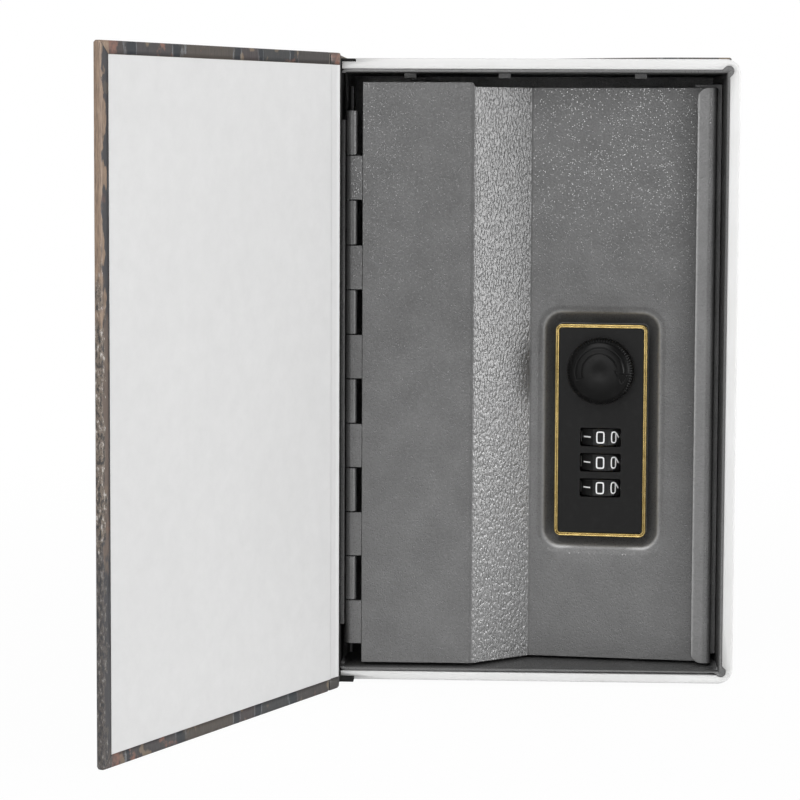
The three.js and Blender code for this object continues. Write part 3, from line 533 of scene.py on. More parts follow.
# The box and its angles take a darker copy of the door's paint, as painted shade for the box's deep
# inside.
PAINT, SHADED_BOX_PAINT = grey_paint("grey_paint", 102, 1), grey_paint("shaded_box_paint", 86, 0)
WALL_CUTS = [slab(-0.6, 0.85, 0, 14, *rise) for rise in ((5.4, 16.8), (161.4, 174.6))]
FLOOR_LOW, FLOOR_HIGH, FLOOR_END, FLOOR_DROP = 4.2, 5.6, 106.5, 0.5
INNER_X, INNER_Z, LIP_START = (0.9, 107.9), (5.35 - FLOOR_DROP, 174.65), 0.02
LIP_DEEP, LIP_SIDE, LIP_HEAD, LIP_TAIL = 2.35, 0.6, 0.42, 0.35


def lip_cutter():
    """A block that widens towards the front, so that the box's walls thin out to their edge."""
    points, faces = slab(0, 1, -0.4, LIP_DEEP, 0, 1)
    high_x, y, high_z = np.moveaxis(points, -1, 0)
    wide = y < 0
    x = np.where(high_x > 0, INNER_X[1] - LIP_START + wide * LIP_SIDE, INNER_X[0])
    z = np.where(high_z > 0, INNER_Z[1] - LIP_START + wide * LIP_HEAD,
                 INNER_Z[0] + LIP_START - wide * LIP_TAIL)
    return together(x, y, z), faces


steel_box = softened("safe_box", "steel_box", SHADED_BOX_PAINT, 0.16)
floor_end = page_low.x + FLOOR_END * MM
for point in steel_box.data.vertices:
    if FLOOR_LOW * MM < point.co.z < FLOOR_HIGH * MM and point.co.x < floor_end:
        point.co.z -= FLOOR_DROP * MM
cut_out(steel_box, *(made("cut", *cutter, SHADED_BOX_PAINT) for cutter in (*WALL_CUTS, lip_cutter())))
fixed(steel_box, "safe", "grey_paint", "safe_box")

# Piano hinge
# Two painted leaves rolled round one steel pin: six knuckles on the door's edge and six on
# the leaf inside the box's spine wall, turn and turn about.

PIN_X, PIN_Y = 2.6, 4.0
KNUCKLE_RADIUS, ROLL_THICK, ROLL_TURN = 1.6, 0.85, 1.72 * math.pi
DOOR_FRONT, DOOR_LEFT = 2.4, 5.7
HINGE_BOTTOM, KNUCKLE_STEP, KNUCKLES, KNUCKLE_GAP = 11.05, 12.7583, 12, 0.3
LEAF_FRONT, ROLL_START, LEAF_BACK = 6, 11.6, 17.6


def rolled(start, angle, way):
    """A leaf's outline in plan: its middle line, from start to the roll and on in a circle round
    the pin, moved half the thickness to each side."""
    turn = np.linspace(angle, angle + way * ROLL_TURN, 25)
    radius = KNUCKLE_RADIUS - ROLL_THICK / 2
    roll = together(PIN_X + radius * np.cos(turn), PIN_Y + radius * np.sin(turn))
    place, heading, _ = along(np.concatenate([[start], roll]))
    side = right_of(heading) * ROLL_THICK / 2
    return np.concatenate([place + side, (place - side)[::-1]])


def knuckles(outline, first):
    """Every second knuckle of the hinge, from the first one's number on."""
    low = HINGE_BOTTOM + np.arange(first, KNUCKLES, 2) * KNUCKLE_STEP + KNUCKLE_GAP / 2
    return [raised(outline, z, z + KNUCKLE_STEP - KNUCKLE_GAP) for z in low]


door_roll = rolled([DOOR_LEFT - 0.05, DOOR_FRONT + ROLL_THICK / 2], -math.pi / 2, -1)
door_knuckles = made("door_knuckles", *joined(*knuckles(door_roll, 0)), PAINT)
fixed(bevelled(door_knuckles, 0.1), "door", "grey_paint")

leaf_x = PIN_X - KNUCKLE_RADIUS
leaf_top = HINGE_BOTTOM + KNUCKLES * KNUCKLE_STEP
box_roll = rolled([leaf_x + ROLL_THICK / 2, ROLL_START], -math.pi, 1)
leaf = slab(leaf_x, leaf_x + ROLL_THICK, LEAF_FRONT, LEAF_BACK,
            HINGE_BOTTOM + KNUCKLE_GAP / 2, leaf_top - KNUCKLE_GAP / 2)
box_leaf = made("hinge_leaf_rolled", *joined(*knuckles(box_roll, 1), leaf), PAINT)
fixed(bevelled(box_leaf, 0.1), "safe", "grey_paint", "hinge_leaf")


# The pin is coloured nearly black as painted shade: the hinge's ends lie in shadow.
def shaded_pin_steel():
    finish = Finish("shaded_pin_steel")
    oil = finish.noise(0.8, detail=3, rough=0.6)
    return finish.done(finish.mix(oil, tone(20), tone(34)), 0.32 + oil * 0.2, metallic=0.7)


def zinc_steel():
    finish = Finish("zinc_steel")
    brushed = finish.noise(0.5, detail=3, stretch=(1, 1, 0.08))
    cloudy = finish.noise(5, detail=3)
    colour = finish.ramp(cloudy, (0.3, tone(176, 176, 172)), (0.7, tone(200, 200, 198)))
    return finish.done(colour, 0.3 + brushed * 0.2, [(brushed, 0.01)], metallic=0.95)


STEEL = zinc_steel()
dressed("hinge_pin", "pin", shaded_pin_steel(), 0.12, "safe", "bare_steel")

# Door
# One sheet of painted steel bent four times: a flat by the hinge, a slanted band, the sunk lock
# panel and a hem rolled back over its free edge. A shallow recess is pressed round the lock.

THICK = 1.0
DOOR_BOTTOM, DOOR_TOP, PANEL_TOP = 5.75, 172.1, 170.9
SHEET_MIDDLE = 2.9
BAND_TOP, BAND_FOOT = (37.1, 2.9), (53.7, 15.7)
PANEL_ANGLE = math.radians(6.5)
PANEL_RUN, HEM_RADIUS, HEM_SQUARENESS, HEM_WIDTH, HEM_CORNER = 51.028, 1.5, 0.5, 5, 3
LOCK_ALONG, LOCK_Z = 20.77, 72.29
RECESS_X, RECESS_Z, RECESS_CORNER, RECESS_DEPTH = 16.55, 34.1, 5, 0.8
BEND_RADII, PRESS_OUT, PRESS_IN = (0.8, 0.7), 2.1, 4.8
TROUGH_SLOPE, TROUGH_END, TROUGH_RISE, EDGE_ROUND = 1.25, -3.3, 1.1, 0.95
# Painted highlight along the recess's edge and over the hem, and painted shade beside the hem:
HIGHLIGHT_IN, HIGHLIGHT_HALF, HEM_HIGHLIGHT, HEM_SHADE, HEM_DARK = -0.15, 0.42, 0.16, 13, 0.62
SLOT_X, SLOT_LOW, SLOT_HIGH = 7.3, -20.5, 2.0
SPINDLE_Z, SPINDLE_HOLE = 17.5, 3.5


def turned(origin, angle, run, inward):
    """Places in plan: run along a line that leaves origin to the right, turned towards the
    front by an angle, and inward of it."""
    cosine, sine = math.cos(angle), math.sin(angle)
    return together(origin[0] + run * cosine + inward * sine,
                    origin[1] - run * sine + inward * cosine)


def on_panel(run, forward):
    """A place in plan, run along the lock panel from the band's foot and forward of it."""
    return turned(BAND_FOOT, PANEL_ANGLE, run, -forward)


def stations(start, end, step, fine=(), fine_step=0.3):
    """Places from start to end about every step, and every fine_step inside each (low, high)
    stretch of fine, where the coarse ones are left out."""
    coarse = np.linspace(start, end, round((end - start) / step) + 1)
    for low, high in fine:
        coarse = coarse[(coarse < low - fine_step / 2) | (coarse > high + fine_step / 2)]
    dense = [np.linspace(low, high, round((high - low) / fine_step) + 1) for low, high in fine]
    return np.unique(np.round(np.concatenate([coarse, [start, end], *dense]), 3))


def eased(share):
    """0 below 0, 1 above 1 and 3t^2 - 2t^3 between."""
    t = np.clip(share, 0, 1)
    return t * t * (3 - 2 * t)


def shell(front, back, keep=None):
    """A thick sheet from two grids of points: the kept cells of both, all unless keep says
    which, and a rim wherever a kept cell has none beside it."""
    index = np.arange(front.shape[0] * front.shape[1]).reshape(front.shape[:2])
    under = index.size
    a, b, c, d = index[:-1, :-1], index[1:, :-1], index[1:, 1:], index[:-1, 1:]
    keep = np.ones(a.shape, bool) if keep is None else keep
    faces = [np.stack([a, b, c, d], -1)[keep], np.stack([d, c, b, a], -1)[keep] + under]
    around = np.pad(keep, 1)
    sides = [(a, b, around[1:-1, :-2]), (b, c, around[2:, 1:-1]),
             (c, d, around[1:-1, 2:]), (d, a, around[:-2, 1:-1])]
    for p, q, beside in sides:
        rim = keep & ~beside
        faces.append(np.stack([q[rim], p[rim], p[rim] + under, q[rim] + under], -1))
    return np.concatenate([front.reshape(-1, 3), back.reshape(-1, 3)]), np.concatenate(faces)


def door_sheet():
    """The door's bent line carried up Z. Each point moves in along the panel's way with its
    distance inside the recess's rounded rectangle: down a slope, rounded over where it starts,
    into a trough round the lock's plate, and back up to the floor that the plate lies on. With
    the points and faces goes a sheet whose U is a painted highlight, along that edge, over the
    hem and at its free edge, and whose V is painted shade, darker beside the hem."""
    turn = np.linspace(-math.pi / 2, math.pi / 2, 21)
    squared = np.sign(np.sin(turn)) * np.abs(np.sin(turn)) ** HEM_SQUARENESS
    roll = on_panel(PANEL_RUN + HEM_RADIUS * np.cos(turn) ** HEM_SQUARENESS,
                    HEM_RADIUS * (1 + squared))
    hem_end = on_panel(PANEL_RUN + HEM_RADIUS - HEM_WIDTH, 2 * HEM_RADIUS)
    bends = rounded_path([(DOOR_LEFT, SHEET_MIDDLE), BAND_TOP, BAND_FOOT, roll[0]], BEND_RADII)
    line = np.concatenate([bends, roll[1:], [hem_end]])
    _, _, length = along(line)
    _, _, panel_end = along(bends)
    lock_at = panel_end - (PANEL_RUN - LOCK_ALONG)
    band_start, band_end = BAND_TOP[0] - DOOR_LEFT, lock_at - LOCK_ALONG
    hem_straight = length - HEM_WIDTH + HEM_RADIUS

    def pressed(middle, half):
        """The stretches across the recess's two edges, half to each side of its middle."""
        return ((middle - half - PRESS_OUT, middle - half + PRESS_IN),
                (middle + half - PRESS_IN, middle + half + PRESS_OUT))

    at = stations(0, length, 2.6, [
        *((bend - 1, bend + 1) for bend in (band_start, band_end)), *pressed(lock_at, RECESS_X),
        (lock_at - SLOT_X, lock_at - SPINDLE_HOLE), (lock_at + SPINDLE_HOLE, lock_at + SLOT_X),
        (panel_end - 0.5, hem_straight), (length - HEM_CORNER, length)], 0.27)
    hole_z = LOCK_Z + SPINDLE_Z
    up = stations(DOOR_BOTTOM, PANEL_TOP, 4.5, [
        *pressed(LOCK_Z, RECESS_Z), *((LOCK_Z + z, LOCK_Z + z + 0.5) for z in (SLOT_LOW, SLOT_HIGH)),
        (hole_z - SPINDLE_HOLE, hole_z + SPINDLE_HOLE)], 0.3)
    lock_x, lock_z = (at - lock_at)[:, None], (up - LOCK_Z)[None, :]
    corner_x = np.abs(lock_x) - (RECESS_X - RECESS_CORNER)
    corner_z = np.abs(lock_z) - (RECESS_Z - RECESS_CORNER)
    outside = np.hypot(np.maximum(corner_x, 0), np.maximum(corner_z, 0))
    distance = outside + np.minimum(np.maximum(corner_x, corner_z), 0) - RECESS_CORNER
    sunk = TROUGH_SLOPE * (np.sqrt(distance**2 + EDGE_ROUND**2) - distance) / 2
    sunk += (RECESS_DEPTH - sunk) * eased((TROUGH_END - distance) / TROUGH_RISE)
    sunk *= eased((2.2 - distance) / 1.2)
    flat_rise = (DOOR_TOP - PANEL_TOP) * eased((band_start + 0.4 - at) / 0.8)
    from_end = np.clip(HEM_CORNER - (length - at), 0, HEM_CORNER)
    nibble = HEM_CORNER - np.sqrt(HEM_CORNER**2 - from_end**2)
    low, high = DOOR_BOTTOM + nibble, PANEL_TOP + flat_rise - nibble
    share = (up - DOOR_BOTTOM) / (PANEL_TOP - DOOR_BOTTOM)
    z = low[:, None] + (high - low)[:, None] * share
    inside_panel = ((at > band_end) & (nibble == 0))[:, None]
    z = np.where(inside_panel, up[None, :], z)
    place, way, _ = along(line, at)
    inward = sunk[..., None] * [math.sin(PANEL_ANGLE), math.cos(PANEL_ANGLE)]
    grids = [upright((place + right_of(way) * side)[:, None] + inward, z)
             for side in (THICK / 2, -THICK / 2)]
    middle_x, middle_z = (lock_x[1:] + lock_x[:-1]) / 2, (lock_z[:, 1:] + lock_z[:, :-1]) / 2
    slot = (np.abs(middle_x) < SLOT_X) & (middle_z > SLOT_LOW) & (middle_z < SLOT_HIGH)
    hole = np.hypot(middle_x, middle_z - SPINDLE_Z) < SPINDLE_HOLE
    # Painted highlight: a pale line along the recess's edge, strongest at its sides and lower corners,
    # then over the hem and at its free edge.
    beside = eased(corner_x / RECESS_CORNER + 1)
    low_corner = beside * eased((-lock_z - 0.8 * RECESS_Z) / (0.2 * RECESS_Z))
    wear_and_highlight = 0.15 + 0.35 * beside + 0.25 * low_corner
    wear_and_highlight = wear_and_highlight * np.exp(-((distance + HIGHLIGHT_IN) / HIGHLIGHT_HALF)**2)
    hem = eased((at - hem_straight) / 0.6)[:, None] * HEM_HIGHLIGHT
    lip = eased((at - length + 0.7) / 0.5)[:, None] * (1 - HEM_HIGHLIGHT)
    # Painted shade: darker beside the hem, ending before the hem's straight.
    dark = HEM_DARK * eased((at - panel_end + HEM_SHADE) / HEM_SHADE)
    dark *= 1 - eased((at - hem_straight + 1.6) / 0.8)
    sheet = together(wear_and_highlight + hem + lip * 0.5, dark[:, None]).reshape(-1, 2)
    return *shell(*grids, ~(slot | hole)), np.concatenate([sheet, sheet])


# The sheet's U and V carry the door's painted highlight and painted shade.
*door_shape, door_painted_light = door_sheet()
door_panel = made("door_sheet", *door_shape, PAINT, sharp=50, uv=door_painted_light, outwards=False)
fixed(bevelled(door_panel, 0.14, 60), "door", "grey_paint", "door_panel")

# Door stop and strike
# Two steel angles welded to the fore-edge wall: the closed door rests on one, and the lock's
# cam catches behind the other.

dressed("door_stop", "stop_angle", SHADED_BOX_PAINT, 0.15, "safe", "grey_paint")
dressed("strike_bracket", "strike_angle", SHADED_BOX_PAINT, 0.15, "safe", "grey_paint")

# Lock face
# A black moulded plate in a gold frame. The frame is one rounded bead with a thin lip inside
# it, and the plate has a window for each number wheel.

PLATE_X, PLATE_Z, PLATE_CORNER = 13.25, 30.8, 1.9
PLATE_FRONT, PLATE_BACK = -1.2, 0.55
BEAD, BEAD_START, BEAD_RISE, LIP_BACK, TRIM_WIDTH = 0.6, 0.12, 0.44, 0.45, 1.05
LOCK_PLACE = on_panel(LOCK_ALONG, THICK / 2)


def in_lock(points, rise=0):
    """Points of the lock's own frame, X along the panel, Y into the safe and Z up from the
    plate's middle, turned with the panel and moved to their place."""
    x, y, z = np.moveaxis(points, -1, 0)
    return upright(turned(LOCK_PLACE, PANEL_ANGLE, x, y), LOCK_Z + rise + z)


def ring(half_x, half_z, radius, steps=10):
    """A rounded rectangle, anticlockwise from its lower right corner, and its outward ways:
    each corner's centre plus radius times (cos, sin) of an angle that goes on round."""
    turn = np.linspace(0, math.pi / 2, steps + 1) + (np.arange(4)[:, None] - 1) * math.pi / 2
    way = together(np.cos(turn), np.sin(turn))
    centre = np.array([half_x - radius, half_z - radius]) * [[1, -1], [1, 1], [-1, 1], [-1, -1]]
    return (centre[:, None] + radius * way).reshape(-1, 2), way.reshape(-1, 2)


def bead_frame():
    """The plate's outline with the frame's section carried round it: the bead, with width
    BEAD / 2 * (1 - cos t) and height sin t, then a groove, the lip and the two back corners."""
    t = np.linspace(0, math.pi, 13)
    bead = together(BEAD / 2 * (1 - np.cos(t)), PLATE_FRONT + BEAD_START - BEAD_RISE * np.sin(t))
    lip = [[BEAD + 0.01, PLATE_FRONT + LIP_BACK], [BEAD + 0.14, PLATE_FRONT + LIP_BACK],
           [BEAD + 0.15, PLATE_FRONT], [BEAD + 0.21, PLATE_FRONT - 0.1],
           [TRIM_WIDTH - 0.1, PLATE_FRONT - 0.1], [TRIM_WIDTH, PLATE_FRONT + 0.02],
           [TRIM_WIDTH, PLATE_BACK], [0, PLATE_BACK]]
    points = carried(*ring(PLATE_X, PLATE_Z, PLATE_CORNER), np.concatenate([bead, lip]))
    return in_lock(points), grid_faces(*points.shape[:2], close_rows=True, close_columns=True)


def gold():
    finish = Finish("gold")
    wear_and_highlight = finish.noise(1.6, detail=4, rough=0.65)
    grain = finish.noise(0.3, detail=2)
    colour = finish.ramp(wear_and_highlight, (0.35, tone(172, 148, 90)), (0.65, tone(204, 181, 122)))
    colour = finish.mix(finish.levels(wear_and_highlight, 0.7, 0.78), colour, tone(132, 110, 68))
    return finish.done(colour, 0.14 + grain * 0.12, [(grain, 0.008), (wear_and_highlight, 0.012)], metallic=0.9)


def black_plastic(name, base, grain_size, grain_depth, roughness, shine=0.22):
    finish = Finish(name)
    grain = finish.noise(grain_size, detail=3, rough=0.6)
    dust = finish.noise(2.2, detail=4)
    colour = finish.mix(finish.levels(dust, 0.5, 0.75), tone(base), tone(base + 7))
    bumps = [(grain, grain_depth)]
    return finish.done(colour, roughness + dust * 0.12, bumps, specular_ior_level=shine)


fixed(made("gold_frame", *bead_frame(), gold()), "door", "gold_trim", "lock_bezel")
FACE_PLASTIC = black_plastic("face_plastic", 16, 0.3, 0.03, 0.42)
dressed("lock_faceplate", "lock_face", FACE_PLASTIC, 0.12, "door", "black_plastic")

# Number wheels
# Three black ten-sided wheels on one axle, with a white number printed across each flat. The
# numbers lie on their sides, so that they read when the open book is turned on its edge.

WHEELS = {"top_wheel": -1.9, "middle_wheel": -9.25, "bottom_wheel": -16.6}
WHEEL_DEPTH, WHEEL_APOTHEM, WHEEL_HALF, WHEEL_BORE, WHEEL_EDGE = 4.7, 6.4, 2.4, 3.5, 0.3
FACETS = 10
SLANT = math.pi / FACETS
FLAT_SINK, FLAT_MARGIN, STROKE, INK, INK_SUNK = 0.06, 0.12, 0.23, 0.06, 0.02
DIGIT_TALL, DIGIT_WIDE = 2.5, 3.6
DIGITS = {
    0: [(0.5, 0), (0.9, 0), (1, 0.13), (1, 0.87), (0.9, 1), (0.1, 1), (0, 0.87), (0, 0.13),
        (0.1, 0), (0.5, 0)],
    1: [(0.5, -0.02), (0.5, 1.22)],
    2: [(0, 1), (0.8, 1), (1, 0.85), (1, 0.65), (0.8, 0.5), (0.2, 0.5), (0, 0.3), (0, 0), (1, 0)],
    3: [(0, 1), (0.8, 1), (1, 0.8), (0.9, 0.55), (0.4, 0.52), (0.9, 0.48), (1, 0.2), (0.8, 0), (0, 0)],
    4: [(0.75, 0), (0.75, 1), (0, 0.3), (1, 0.3)],
    5: [(1, 1), (0, 1), (0, 0.55), (0.8, 0.55), (1, 0.4), (1, 0.15), (0.8, 0), (0, 0)],
    6: [(0.9, 1), (0.3, 1), (0, 0.7), (0, 0.2), (0.2, 0), (0.8, 0), (1, 0.2), (0.9, 0.5), (0, 0.5)],
    7: [(0, 1), (1, 1), (0.35, 0)],
    8: [(0.5, 0.52), (0.1, 0.6), (0, 0.8), (0.2, 1), (0.8, 1), (1, 0.8), (0.9, 0.6), (0.1, 0.42),
        (0, 0.2), (0.2, 0), (0.8, 0), (1, 0.2), (0.9, 0.42), (0.5, 0.52)],
    9: [(0.45, -0.35), (0.97, 0.12), (1, 0.65), (0.85, 0.83), (0.15, 0.83), (0, 0.65), (0, 0.25),
        (0.15, 0.12), (0.97, 0.12)],
}


def facet_frame(k):
    """The outward way of the k-th flat, counted from the front to the left, and its way right."""
    out = np.array([-math.sin(2 * k * SLANT), -math.cos(2 * k * SLANT)])
    return out, out[::-1] * [-1, 1]


def wheel(rise):
    """A ten-sided ring. Each flat runs between rounded edges, and sinks inside a margin:
    FLAT_SINK * eased step of the distance from its nearest edge."""
    half = WHEEL_APOTHEM * math.tan(SLANT)
    near = half - np.array([WHEEL_EDGE, 0.4, 0.55])
    run = np.concatenate([-near, np.linspace(-1, 1, 4), near[::-1]])
    turn = np.linspace(0, 2 * SLANT, 4)[1:-1, None]
    rows = []
    for k in range(FACETS):
        out, right = facet_frame(-k)
        tip = (WHEEL_APOTHEM - WHEEL_EDGE) * (out + right * math.tan(SLANT))
        rounding = np.cos(turn) * out + np.sin(turn) * right
        rows += [out * WHEEL_APOTHEM + run[:, None] * right, tip + 1.02 * WHEEL_EDGE * rounding]
    outline = np.concatenate(rows)
    margin = np.tile([*(half - np.abs(run)), 0, 0], FACETS)[:, None]
    z = np.array([-2.4, -2.34, -2.2, -2.08, -0.7, 0.7, 2.08, 2.2, 2.34, 2.4])
    inset = np.array([0.2, 0.06, 0, 0, 0, 0, 0, 0, 0.06, 0.2])
    depth = FLAT_SINK * eased((np.minimum(margin, WHEEL_HALF - np.abs(z)) - FLAT_MARGIN) / 0.2)
    scale = 1 - (inset + depth) / np.linalg.norm(outline, axis=1)[:, None]
    turn = np.arctan2(outline[:, 1], outline[:, 0])[:, None]
    bore = together(WHEEL_BORE * np.cos(turn), WHEEL_BORE * np.sin(turn), z[[-1, 0]])
    points = np.concatenate([upright(outline[:, None] * scale[..., None], z), bore], axis=1)
    faces = grid_faces(*points.shape[:2], close_rows=True, close_columns=True)
    return in_lock(points + [0, WHEEL_DEPTH, 0], rise), faces


def chaikin(line, times=2):
    """A bent line with its corners cut: each stretch keeps its quarter and three-quarter points."""
    for _ in range(times):
        cut = [share * line[:-1] + (1 - share) * line[1:] for share in (0.75, 0.25)]
        cut = np.stack(cut, axis=1).reshape(-1, line.shape[1])
        line = np.concatenate([line[:1], cut, line[-1:]])
    return line


def bead(line, outward):
    """A low bead of ink along a line on a flat: across it by STROKE * cos t, out by INK * sin t,
    its two ends closed."""
    way = np.gradient(line, axis=0)
    side = np.cross(way / np.linalg.norm(way, axis=1, keepdims=True), outward)
    t = np.linspace(0, math.pi, 5)[:, None]
    rise = (INK * np.sin(t) - INK_SUNK) * outward
    return line[:, None] + STROKE * np.cos(t) * side[:, None] + rise, tube_faces(len(line), len(t))


def numbers(rise):
    """The ten numbers of a wheel: number k on flat k, its top to the left and its right up."""
    parts = []
    for k, line in DIGITS.items():
        out, right = (np.array([*way, 0]) for way in facet_frame(k))
        size = np.array([DIGIT_WIDE, DIGIT_TALL]) - 2 * STROKE
        u, v = ((np.array(line) - 0.5) * size).T[..., None]
        flat = out * (WHEEL_APOTHEM - FLAT_SINK) - v * right + u * [0, 0, 1]
        points, faces = bead(chaikin(flat), out)
        parts.append((in_lock(points + [0, WHEEL_DEPTH, 0], rise), faces))
    return joined(*parts)


def white_ink():
    finish = Finish("white_ink")
    wear_and_highlight = finish.levels(finish.noise(0.4, detail=3), 0.55, 0.8)
    return finish.done(finish.mix(wear_and_highlight, tone(243), tone(206)), 0.5)


WHEEL_PLASTIC = black_plastic("wheel_plastic", 22, 0.25, 0.02, 0.34)
INK_WHITE = white_ink()
for i, (body, rise) in enumerate(WHEELS.items(), 1):
    sides = made(f"wheel_{i}", *wheel(rise), WHEEL_PLASTIC, 30)
    fixed(sides, body, "black_plastic", f"number_wheel_{i}")
    fixed(made(f"numbers_{i}", *numbers(rise), INK_WHITE), body, "page_plastic")

# Knob
# A turned black knob with a finely knurled rim and a scored arrow that bends over its top and
# points down to the right, the way it turns to unlock.

KNOB_RADIUS, KNOB_BACK, KNOB_FRONT = 9.55, -1.45, -7.35
KNOB_FACE, KNOB_DOME, KNOB_POWER, KNOB_ROUND = 8.25, 1.1, 5, 0.5
DIMPLE, DIMPLE_RADIUS = 0.2, 3
TEETH, TOOTH_DEPTH = 72, 0.24
ARROW_IN, ARROW_OUT, ARROW_SINK, ARROW_LINE = 5.15, 6.95, 0.14, 0.3
ARROW_FROM, ARROW_TO = math.radians(-3), math.radians(200)
ARROW_HEAD = [(4.55, 0.28), (6.3, -3.15), (8.05, -0.8)]


def arrow_distance(x, z):
    """How far a place is outside the arrow: from its band, the larger of the distances outside
    its two radii and its two ends, and from its head, the largest distance outside three lines."""
    radius, turn = np.hypot(x, z), np.arctan2(z, x) % (2 * math.pi)
    turn = np.where(turn > math.radians(290), turn - 2 * math.pi, turn)
    band = np.maximum.reduce([ARROW_IN - radius, radius - ARROW_OUT,
                              (ARROW_FROM - turn) * radius, (turn - ARROW_TO) * radius])
    head = np.full_like(x, -1e9)
    for (x0, z0), (x1, z1) in zip(ARROW_HEAD, ARROW_HEAD[1:] + ARROW_HEAD[:1]):
        length = math.hypot(x1 - x0, z1 - z0)
        head = np.maximum(head, -((x1 - x0) * (z - z0) - (z1 - z0) * (x - x0)) / length)
    return np.minimum(band, head)


def knob():
    """Stations from the middle of the front out to the rim and back to the spindle hole, carried
    round. The front is a flat dome, KNOB_DOME * (r / face)^KNOB_POWER, with a dimple in its
    middle. The rim's radius loses TOOTH_DEPTH * |sin| of the teeth's turn, and a groove
    ARROW_SINK deep follows the arrow's outline."""
    face = stations(0.4, KNOB_FACE, 0.8, [(3.6, KNOB_FACE)], 0.12)
    front = KNOB_FRONT + KNOB_DOME * (face / KNOB_FACE)**KNOB_POWER
    front += DIMPLE * eased(1 - face / DIMPLE_RADIUS)
    lean = math.atan(KNOB_DOME * KNOB_POWER / KNOB_FACE)
    a = np.linspace(lean, math.radians(62), 5)[1:]
    rounding = together(KNOB_FACE + KNOB_ROUND * (np.sin(a) - math.sin(lean)),
                        KNOB_FRONT + KNOB_DOME + KNOB_ROUND * (math.cos(lean) - np.cos(a)))
    side = [(8.65, -5.9), (8.95, -5.72), (9.3, -5.45), (9.48, -5.25), (KNOB_RADIUS, -5),
            (KNOB_RADIUS, -4), (KNOB_RADIUS, -1.9), (9.1, -1.6), (8.9, KNOB_BACK),
            (3.3, KNOB_BACK), (3.3, -5.4)]
    radius, depth = np.concatenate([together(face, front), rounding, side]).T[..., None]
    knurled = (radius > 8.8) & (depth > -5.8) & (depth < KNOB_BACK)
    knurled = np.where(np.isclose(radius, 8.65), 0.5, knurled)
    turn = np.linspace(0, 2 * math.pi, TEETH * 6, endpoint=False)
    r = radius - TOOTH_DEPTH * (1 - np.abs(np.sin(turn * TEETH / 2))) * knurled
    x, z = r * np.cos(turn), r * np.sin(turn)
    groove = 1 - eased(np.abs(arrow_distance(x, z)) / ARROW_LINE)
    y = depth + ARROW_SINK * groove * (radius <= KNOB_FACE)
    return in_lock(together(x, y, z), SPINDLE_Z), tube_faces(*x.shape)


KNOB_PLASTIC = black_plastic("knob_plastic", 7, 0.22, 0.012, 0.26, 0.17)
fixed(made("turn_knob", *knob(), KNOB_PLASTIC, 32), "knob", "black_plastic", "lock_knob")

# Lock body
# The moulded case behind the panel with its screws, and the moving parts in it: axle, spring,
# fence bar, coding sleeves, spindle, cam with its nut, and the lever that frees the code.


def brass():
    finish = Finish("brass")
    cloudy = finish.noise(2.5, detail=3)
    colour = finish.ramp(cloudy, (0.3, tone(172, 142, 84)), (0.7, tone(201, 172, 108)))
    return finish.done(colour, 0.3 + cloudy * 0.15, metallic=0.95)


BRASS = brass()
CASE_PLASTIC = black_plastic("case_plastic", 28, 0.5, 0.03, 0.5)
dressed("lock_housing", "lock_case", CASE_PLASTIC, 0.3, "door", "black_plastic")
for node in ("wheel_axle", "detent_spring", "fence_bar", *(f"lock_screw_{i}" for i in range(1, 5))):
    dressed(node, f"{node}_finished", STEEL, 0.08, "door", "bare_steel")
dressed("lock_spindle", "spindle", BRASS, 0.12, "knob", "brass")
dressed("lock_cam", "cam_plate", STEEL, 0.15, "knob", "bare_steel")
dressed("cam_nut", "cam_locknut", STEEL, 0.15, "knob", "bare_steel")
dressed("reset_lever", "code_lever", BRASS, 0.12, "reset", "brass")
for i, body in enumerate(WHEELS, 1):
    dressed(f"coding_sleeve_{i}", f"sleeve_{i}", BRASS, 0.06, body, "brass")

# Printed cover
# One sheet of printed paper glued over both boards and the spine, turned in along every edge.
# It folds in a groove each side of the spine, and its front groove is shaped for the cover standing
# open.

HINGE_LINE = np.array([-0.5, -2.9])
COVER_ANGLE = math.radians(117.8)
COVER_REACH = 114
COVER_OUTER, COVER_INNER, CASE_THICK = -0.15, 2.1, 2.25
BACK_OUTER, BACK_FORE = 51.85, 113.5
TURN_IN, PAPER_THICK, FOLD, CORNER_ROUND, HEAD_LIFT = 3.3, 0.22, 0.55, 1.7, 0.6
FLAT_SCALE = 0.01
NEAR_EDGE = np.array([0, 0.09, 0.2, 0.34, 0.55])


def on_cover(reach, level):
    """A place in plan: reach along the open front cover from its hinge line, and level towards
    its inside."""
    return turned(HINGE_LINE, COVER_ANGLE, reach, level)


